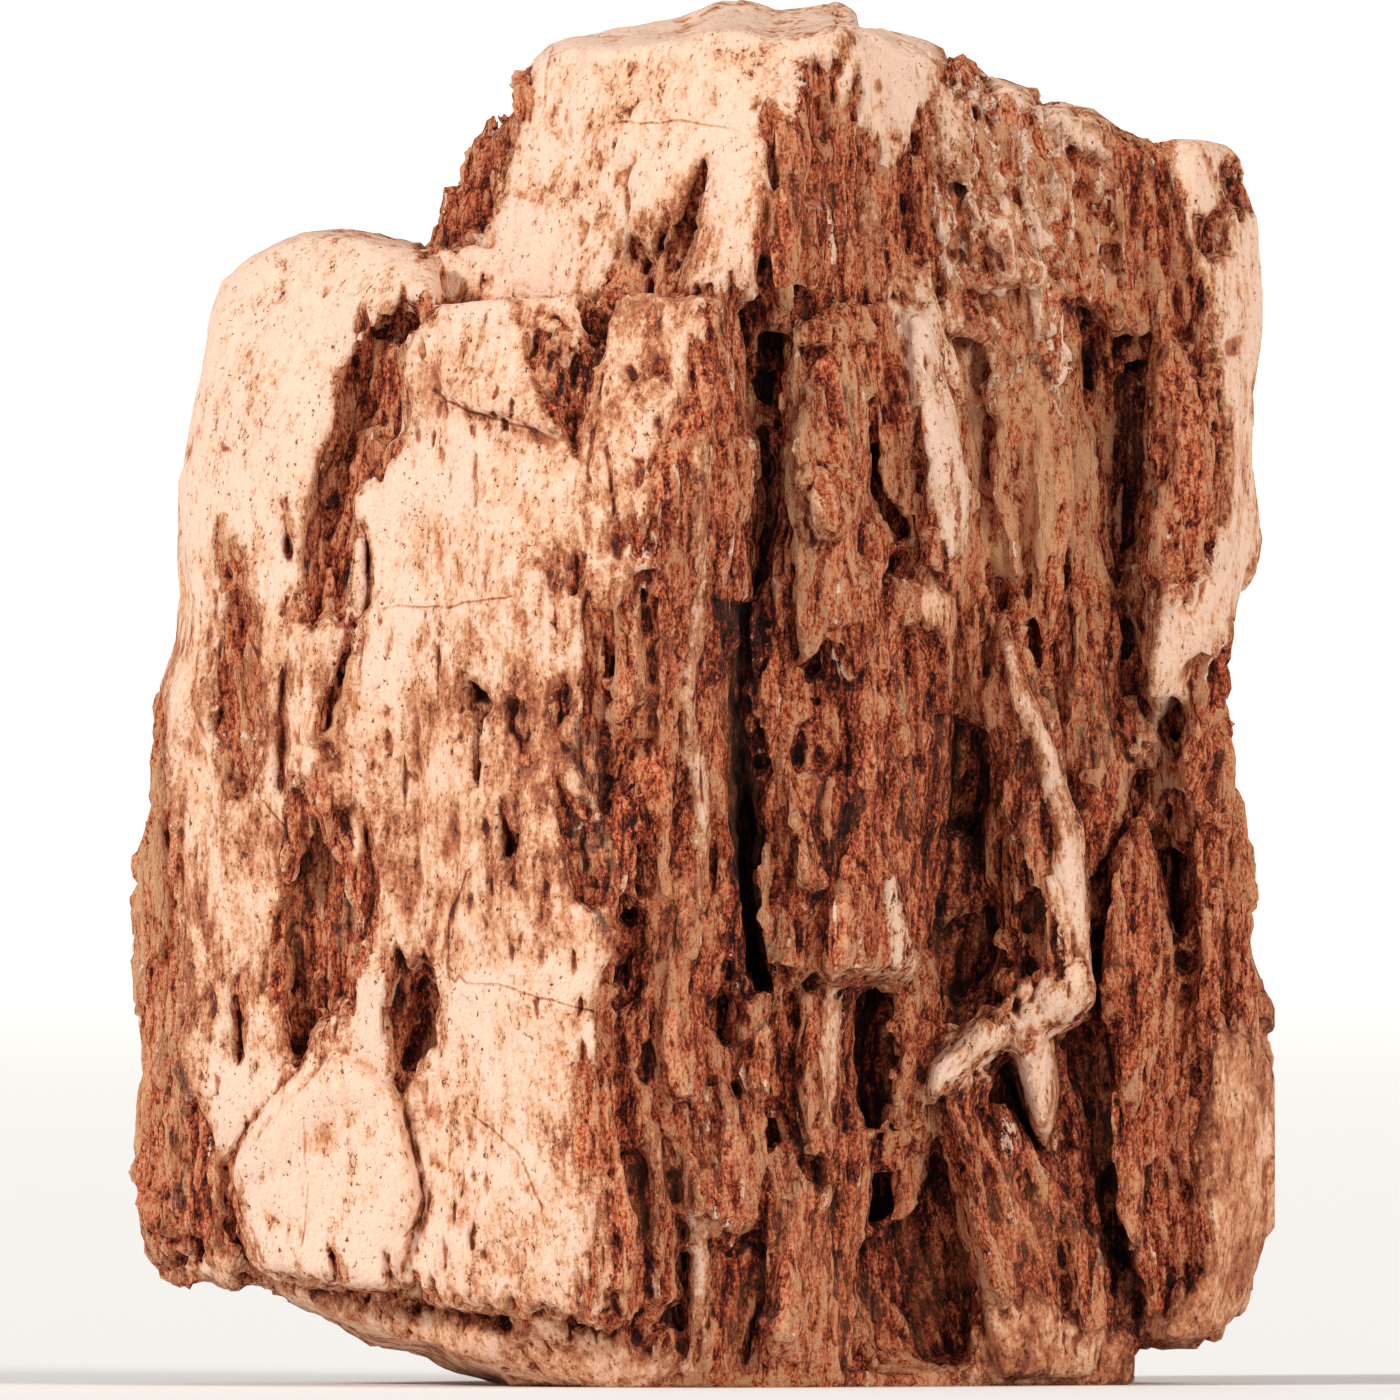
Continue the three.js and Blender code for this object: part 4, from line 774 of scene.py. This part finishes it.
def mark_skin(obj):
    """Values on the finished mesh that the stone's finish reads."""
    mesh = obj.data
    points, normals = points_of(mesh), normals_of(mesh)
    wide_points, wide_normals = smoothed(obj, 30)
    hollow = ((wide_points - points) * wide_normals).sum(1)
    near_points, near_normals = smoothed(obj, 3)
    groove = ((near_points - points) * near_normals).sum(1)
    free = openness(mesh, points, near_normals)
    share = front_share(points, wide_normals)
    cut = drawn_forms(points, share)[1]
    crust = crust_field(points, wide_normals) - 1.5 * np.clip(hollow - 0.4, 0, 2.5)
    crust -= 2.2 * smooth_step(0.42, 0.2, free) + 1.6 * cut
    px, py = photo_place(points)
    # crust remains on the rust: partly its own cream streaks, partly painted highlight, as they sit on ridges
    remains_and_highlight = 0.55 * smooth_step(-0.02, -0.16, groove) + 0.9 * grain.layered(points + 120, (2.6, 2.6, 11), 4)
    remains_and_highlight += 0.6 * second_grain.soft(points + 140, (11, 11, 26)) - 1.3
    remains_and_highlight += 0.75 * calm_and_knobby(points, share)[1]
    remains_and_highlight = np.minimum(np.where(free > 0.45, remains_and_highlight - 1.5 * cut, -2.5), 0.5)
    left_over_and_highlight = smooth_step(-0.3, 0.3, remains_and_highlight - crust)
    crust = np.maximum(crust, remains_and_highlight)
    soot = np.zeros(len(points))
    for strength, outline in SOOT_AREAS.values():
        soot = np.maximum(soot, strength * smooth_step(-14, 14, distance_into(outline, px, py)))
    soot *= share
    scattered = smooth_step(0.0, 0.8, grain.layered(points + 50, (7, 7, 18), 3))
    soot = np.maximum(soot, (0.35 + 0.6 * scattered) * smooth_step(0.6, -0.3, crust))
    signed, where = crack_lines(points, share)
    torn = frayed(wavy(points))
    plate = 0.5 * grain.splinters(torn, BIG_SPLINTERS)[0] + 0.5 * second_grain.splinters(torn, SMALL_SPLINTERS)[0]
    tan = np.zeros(len(points))
    for strength, outline in TAN_AREAS.values():
        inside = smooth_step(-20, 20, distance_into(outline, px, py))
        tan = tan * (1 - inside) + strength * inside
    # painted highlight: the crust remains are made paler so that they look lit
    tan = share * tan + (1 - share) * 0.6 - 1.5 * left_over_and_highlight * share
    tone_and_shade = np.zeros(len(points))
    for strength, outline in TONE_AND_SHADE_AREAS.values():
        tone_and_shade += share * strength * smooth_step(-15, 15, distance_into(outline, px, py))
    write_value(mesh, "crust", crust)
    write_value(mesh, "open", free)
    write_value(mesh, "groove", groove)
    write_value(mesh, "soot", soot)
    write_value(mesh, "plate", plate)
    write_value(mesh, "tan", tan)
    write_value(mesh, "tone_and_shade", tone_and_shade)
    write_value(mesh, "crack", signed)
    write_value(mesh, "cracked", where)
    layer = mesh.attributes.new("grain", "FLOAT_VECTOR", "POINT")
    layer.data.foreach_set("vector", (wavy(points) / 1000).astype(np.float32).ravel())


def make_rock():
    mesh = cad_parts["rock"].data.copy()
    shape = bmesh.new()
    shape.from_mesh(mesh)
    bmesh.ops.remove_doubles(shape, verts=shape.verts, dist=1e-6)
    shape.to_mesh(mesh)
    shape.free()
    mesh.materials.clear()
    rock = bpy.data.objects.new("canyon_rock", mesh)
    bpy.context.scene.collection.objects.link(rock)
    apply_modifier(rock, "REMESH", mode="VOXEL", voxel_size=FIRST_MESH_MM / 1000)
    carve(rock)
    apply_modifier(rock, "REMESH", mode="VOXEL", voxel_size=FINE_MESH_MM / 1000)
    chisel(rock)
    triangles = 2 * len(rock.data.polygons)
    apply_modifier(rock, "DECIMATE", ratio=min(1, MOST_TRIANGLES / triangles))
    drop_loose_crumbs(rock)
    keep_inside_box(rock)
    mark_skin(rock)
    print("faces", len(rock.data.polygons))
    rock.data.shade_smooth()
    rock.data.set_sharp_from_angle(angle=math.radians(48))
    return rock


# ---- finish -------------------------------------------------------------------------------------

class Finish:
    """One material and short ways to add its nodes."""

    def __init__(self, name):
        self.material = bpy.data.materials.new(name)
        self.material.use_nodes = True
        self.tree = self.material.node_tree
        self.tree.nodes.clear()

    def node(self, kind, **settings):
        made = self.tree.nodes.new(kind)
        for name, value in settings.items():
            setattr(made, name, value)
        return made

    def link(self, source, target):
        if isinstance(source, (int, float)):
            target.default_value = source
        elif isinstance(source, tuple):
            target.default_value = source
        else:
            self.tree.links.new(source, target)

    def sum(self, operation, first, second=0.0, third=None, clamp=False):
        made = self.node("ShaderNodeMath", operation=operation, use_clamp=clamp)
        self.link(first, made.inputs[0])
        self.link(second, made.inputs[1])
        if third is not None:
            self.link(third, made.inputs[2])
        return made.outputs[0]

    def chips(self, size_mm, stretch, feature, output, shift=0.0):
        """Long cells of broken fibre with crisp, slightly torn edges."""
        place = self.place(size_mm, stretch, shift, along_grain=True)
        tear = self.node("ShaderNodeTexNoise")
        tear.inputs["Scale"].default_value = 2.2
        tear.inputs["Detail"].default_value = 4.0
        self.link(place, tear.inputs["Vector"])
        torn = self.node("ShaderNodeVectorMath", operation="MULTIPLY_ADD")
        self.link(tear.outputs["Color"], torn.inputs[0])
        torn.inputs[1].default_value = (0.9, 0.9, 0.9)
        self.link(place, torn.inputs[2])
        cells = self.node("ShaderNodeTexVoronoi", feature=feature)
        cells.inputs["Scale"].default_value = 1.0
        self.link(torn.outputs[0], cells.inputs["Vector"])
        return cells.outputs[output]

    def step(self, value, low, high, to_low=0.0, to_high=1.0):
        made = self.node("ShaderNodeMapRange", interpolation_type="SMOOTHSTEP", clamp=True)
        for socket, given in zip(made.inputs, (value, low, high, to_low, to_high)):
            self.link(given, socket)
        return made.outputs[0]

    def mix(self, share, first, second, blend="MIX"):
        made = self.node("ShaderNodeMix", data_type="RGBA", blend_type=blend, clamp_factor=True)
        self.link(share, made.inputs[0])
        self.link(first, made.inputs[6])
        self.link(second, made.inputs[7])
        return made.outputs[2]

    def ramp(self, value, stops):
        """Colours at rising values, 0 to 2, with soft changes between them."""
        made = self.node("ShaderNodeValToRGB")
        self.link(self.sum("MULTIPLY", value, 0.5), made.inputs[0])
        marks = made.color_ramp.elements
        while len(marks) < len(stops):
            marks.new(0.5)
        for mark, (place, shade) in zip(marks, sorted(stops.items())):
            mark.position = place / 2
            mark.color = colour(*shade)
        return made.outputs[0]

    def value(self, name):
        return self.node("ShaderNodeAttribute", attribute_name=name).outputs["Fac"]

    def place(self, size_mm, stretch=1.0, shift=0.0, along_grain=False):
        if along_grain:
            coordinates = self.node("ShaderNodeAttribute", attribute_name="grain").outputs["Vector"]
        else:
            coordinates = self.node("ShaderNodeTexCoord").outputs["Object"]
        mapping = self.node("ShaderNodeMapping")
        scale = 1000 / size_mm
        mapping.inputs["Scale"].default_value = (scale, scale, scale / stretch)
        mapping.inputs["Location"].default_value = (shift, shift, shift)
        self.link(coordinates, mapping.inputs["Vector"])
        return mapping.outputs[0]

    def noise(self, size_mm, stretch=1.0, detail=4.0, roughness=0.55, distortion=0.0, shift=0.0, along_grain=False):
        made = self.node("ShaderNodeTexNoise")
        self.link(self.place(size_mm, stretch, shift, along_grain), made.inputs["Vector"])
        made.inputs["Scale"].default_value = 1.0
        made.inputs["Detail"].default_value = detail
        made.inputs["Roughness"].default_value = roughness
        made.inputs["Distortion"].default_value = distortion
        return made.outputs["Fac"]


def colour(red, green, blue):
    """A screen colour, 0 to 255, as the shader's own."""
    def linear(value):
        value /= 255
        return value / 12.92 if value <= 0.04045 else ((value + 0.055) / 1.055) ** 2.4
    return (linear(red), linear(green), linear(blue), 1.0)


def stone_finish():
    f = Finish("weathered_stone")
    crust = f.value("crust")
    free = f.value("open")
    groove = f.value("groove")
    soot = f.value("soot")

    # how much crust is left, broken up by fine streaks and grains
    streaks = f.noise(1.3, stretch=4, detail=5, roughness=0.68, along_grain=True)
    grains = f.noise(0.55, detail=4, roughness=0.7)
    broken = f.sum("MULTIPLY_ADD", f.sum("SUBTRACT", streaks, 0.5), 5.0, crust)
    broken = f.sum("MULTIPLY_ADD", f.sum("SUBTRACT", grains, 0.5), 2.4, broken)
    crust_share = f.step(broken, -0.1, 0.1)

    # pale crust, from cream through tan stains to rust flecks, with painted shade in its grooves
    wide_stain = f.noise(6.5, stretch=1.5, detail=7, roughness=0.74, shift=3)
    small_stain = f.noise(1.7, stretch=2.2, detail=6, roughness=0.74, shift=8, along_grain=True)
    fleck = f.noise(0.5, stretch=1.5, detail=3, roughness=0.7, shift=4)
    stain = f.sum("MULTIPLY", wide_stain, 0.9)
    stain = f.sum("MULTIPLY_ADD", small_stain, 0.55, stain)
    stain = f.sum("MULTIPLY_ADD", fleck, 0.5, stain)
    stain = f.sum("MULTIPLY_ADD", f.value("tan"), 0.13, stain)
    stain = f.sum("ADD", stain, f.step(broken, 1.5, 0.0, 0, 0.22))
    # painted shade: the crust is stained darker in grooves
    stain = f.sum("ADD", stain, f.step(groove, 0.0, 0.14, 0, 0.26))
    stain = f.sum("ADD", stain, f.step(fleck, 0.64, 0.7, 0, 0.34))
    curl = f.noise(1.5, stretch=1.8, detail=4, roughness=0.62, shift=5)
    curl_where = f.sum("MULTIPLY", f.step(small_stain, 0.52, 0.62, 0, 0.3), f.step(wide_stain, 0.48, 0.56))
    curl_line = f.step(f.sum("ABSOLUTE", f.sum("SUBTRACT", curl, 0.5)), 0.02, 0.004)
    stain = f.sum("MULTIPLY_ADD", curl_line, curl_where, stain)
    crack = f.sum("MULTIPLY", f.step(f.sum("ABSOLUTE", f.value("crack")), 0.18, 0.03, 0, 0.2), f.value("cracked"))
    stain = f.sum("ADD", stain, crack)
    pale = f.ramp(stain, {
        1.0: (250, 211, 187), 1.1: (242, 193, 160), 1.18: (224, 162, 120), 1.29: (192, 116, 77),
        1.42: (148, 78, 50), 1.56: (92, 44, 30),
    })

    # rust stone, from near black to salmon: its lightness follows the relief as well as the fibres' own colour, painted
    # shade in the low fibres, splits, grooves and hollows and a painted highlight on crests and raised plates
    long_fibre = f.noise(2.0, stretch=8, detail=5, roughness=0.62, shift=2, along_grain=True)
    fibre = f.noise(0.8, stretch=4.5, detail=5, roughness=0.74, shift=9, along_grain=True)
    crumb = f.noise(0.34, stretch=1.4, detail=3, roughness=0.75, shift=1)
    height = f.sum("MULTIPLY", long_fibre, 0.35)
    height = f.sum("MULTIPLY_ADD", fibre, 0.7, height)
    height = f.sum("MULTIPLY_ADD", crumb, 0.75, height)
    chip = f.sum("SUBTRACT", f.chips(1.9, 4.5, "F1", "Color"), 0.5)
    split = f.step(f.chips(1.9, 4.5, "DISTANCE_TO_EDGE", "Distance"), 0.07, 0.0)
    # painted shade and highlight: the fibre height, chips, splits and plates that shape the relief also make the colour
    # darker low and lighter high
    light = f.sum("MULTIPLY_ADD", f.sum("SUBTRACT", height, 0.9), 2.2, 0.93)
    light = f.sum("MULTIPLY_ADD", chip, 0.42, light)
    light = f.sum("MULTIPLY_ADD", split, -0.2, light)
    light = f.sum("MULTIPLY_ADD", f.sum("SUBTRACT", f.value("plate"), 0.5), 0.3, light)
    # painted shade in grooves and painted highlight on ridges
    light = f.sum("ADD", light, f.step(groove, -0.14, 0.22, 0.12, -0.24))
    # the tone, partly painted shade in the darkened recesses
    light = f.sum("ADD", light, f.value("tone_and_shade"))
    # painted shade where little room is open in front of the surface
    light = f.sum("ADD", light, f.step(free, 0.12, 0.72, -0.2, 0.06))
    rust = f.ramp(light, {
        0.45: (36, 14, 10), 0.62: (88, 32, 19), 0.76: (150, 60, 36), 0.9: (206, 94, 56),
        1.06: (250, 140, 92), 1.26: (255, 190, 142),
    })
    patch = f.noise(6, stretch=3, detail=6, roughness=0.66, shift=6)
    rust = f.mix(f.step(patch, 0.52, 0.64, 0, 0.4), rust, f.mix(0.4, rust, colour(252, 176, 126)))
    rust = f.mix(f.step(patch, 0.47, 0.36, 0, 0.5), rust, f.mix(0.5, rust, colour(100, 36, 24)))

    base = f.mix(crust_share, rust, pale)
    soot_noise = f.noise(1.5, stretch=2, detail=5, roughness=0.75, shift=15)
    soot_there = f.sum("MULTIPLY_ADD", f.sum("SUBTRACT", soot, 1.0), 0.42, soot_noise)
    base = f.mix(f.step(soot_there, 0.44, 0.56, 0, 0.85), base, f.mix(0.25, colour(58, 48, 40), base))

    # relief too fine for the mesh
    pale_height = f.sum("MULTIPLY_ADD", stain, -0.45, 1.65)
    pale_height = f.sum("MULTIPLY_ADD", crumb, 0.12, pale_height)
    rust_height = f.sum("MULTIPLY_ADD", chip, 0.5, height)
    rust_height = f.sum("MULTIPLY_ADD", split, -0.3, rust_height)
    relief = f.node("ShaderNodeMix", data_type="FLOAT")
    f.link(crust_share, relief.inputs[0])
    f.link(rust_height, relief.inputs[2])
    f.link(pale_height, relief.inputs[3])
    bump = f.node("ShaderNodeBump")
    bump.inputs["Strength"].default_value = 0.9
    bump.inputs["Distance"].default_value = 0.0016
    f.link(relief.outputs[0], bump.inputs["Height"])

    shader = f.node("ShaderNodeBsdfPrincipled")
    f.link(base, shader.inputs["Base Color"])
    f.link(f.step(crust_share, 0, 1, 0.92, 0.65), shader.inputs["Roughness"])
    f.link(bump.outputs[0], shader.inputs["Normal"])
    shader.inputs["Specular IOR Level"].default_value = 0.3
    output = f.node("ShaderNodeOutputMaterial")
    f.link(shader.outputs[0], output.inputs["Surface"])
    return f.material


# ---- studio -------------------------------------------------------------------------------------

def make_floor():
    """A wide round floor whose rim curves up, so that no horizon line shows from any side."""
    shape = bmesh.new()
    flat, rise = 7.0, 2.0
    last = shape.verts.new((0, 0, 0))
    edges = []
    for step in range(0, 17):
        turn = math.radians(90 * step / 16)
        point = shape.verts.new((flat + rise * math.sin(turn), 0, rise * (1 - math.cos(turn))))
        edges.append(shape.edges.new((last, point)))
        last = point
    bmesh.ops.spin(shape, geom=edges, cent=(0, 0, 0), axis=(0, 0, 1), angle=2 * math.pi, steps=96)
    bmesh.ops.remove_doubles(shape, verts=shape.verts, dist=1e-5)
    bmesh.ops.recalc_face_normals(shape, faces=shape.faces)
    if sum(face.normal.z for face in shape.faces) < 0:
        bmesh.ops.reverse_faces(shape, faces=shape.faces)
    mesh = bpy.data.meshes.new("floor")
    shape.to_mesh(mesh)
    shape.free()
    mesh.shade_smooth()
    floor = bpy.data.objects.new("floor", mesh)
    bpy.context.scene.collection.objects.link(floor)
    f = Finish("pale_paper")
    shader = f.node("ShaderNodeBsdfPrincipled")
    shader.inputs["Base Color"].default_value = (0.93, 0.925, 0.915, 1)
    shader.inputs["Roughness"].default_value = 0.9
    shader.inputs["Specular IOR Level"].default_value = 0.1
    output = f.node("ShaderNodeOutputMaterial")
    f.link(shader.outputs[0], output.inputs["Surface"])
    mesh.materials.append(f.material)


def make_sun(name, strength, softness, towards, tint=(1.0, 1.0, 1.0)):
    light = bpy.data.lights.new(name, "SUN")
    light.energy = strength
    light.angle = math.radians(softness)
    light.color = tint
    lamp = bpy.data.objects.new(name, light)
    bpy.context.scene.collection.objects.link(lamp)
    lamp.rotation_euler = Vector(towards).to_track_quat("-Z", "Y").to_euler()


def make_studio():
    make_floor()
    make_sun("key", 2.42, 9, (0.80, 0.42, -0.50), (1.0, 0.985, 0.96))
    make_sun("fill", 1.5, 26, (-0.62, 0.62, -0.5), (1.0, 0.93, 0.85))
    world = bpy.data.worlds.new("studio")
    world.use_nodes = True
    world.node_tree.nodes["Background"].inputs["Color"].default_value = (1, 1, 1, 1)
    world.node_tree.nodes["Background"].inputs["Strength"].default_value = 0.36
    bpy.context.scene.world = world
    bpy.context.scene.view_settings.view_transform = "Standard"


def make_camera():
    away = 6.0
    camera = bpy.data.cameras.new("camera")
    camera.sensor_width = 36
    frame_width = 1400 * MM_PER_PX / 1000
    camera.lens = 36 * away / frame_width
    camera.clip_end = 100
    holder = bpy.data.objects.new("camera", camera)
    bpy.context.scene.collection.objects.link(holder)
    holder.location = ((700 - MIDDLE_PX) * MM_PER_PX / 1000, -away - 0.015, (BASE_PX - 700) * MM_PER_PX / 1000)
    holder.rotation_euler = (math.radians(90), 0, 0)
    bpy.context.scene.camera = holder


rock = make_rock()
rock.data.materials.append(stone_finish())
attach(rock, "root")
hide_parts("rock")
make_studio()
make_camera()
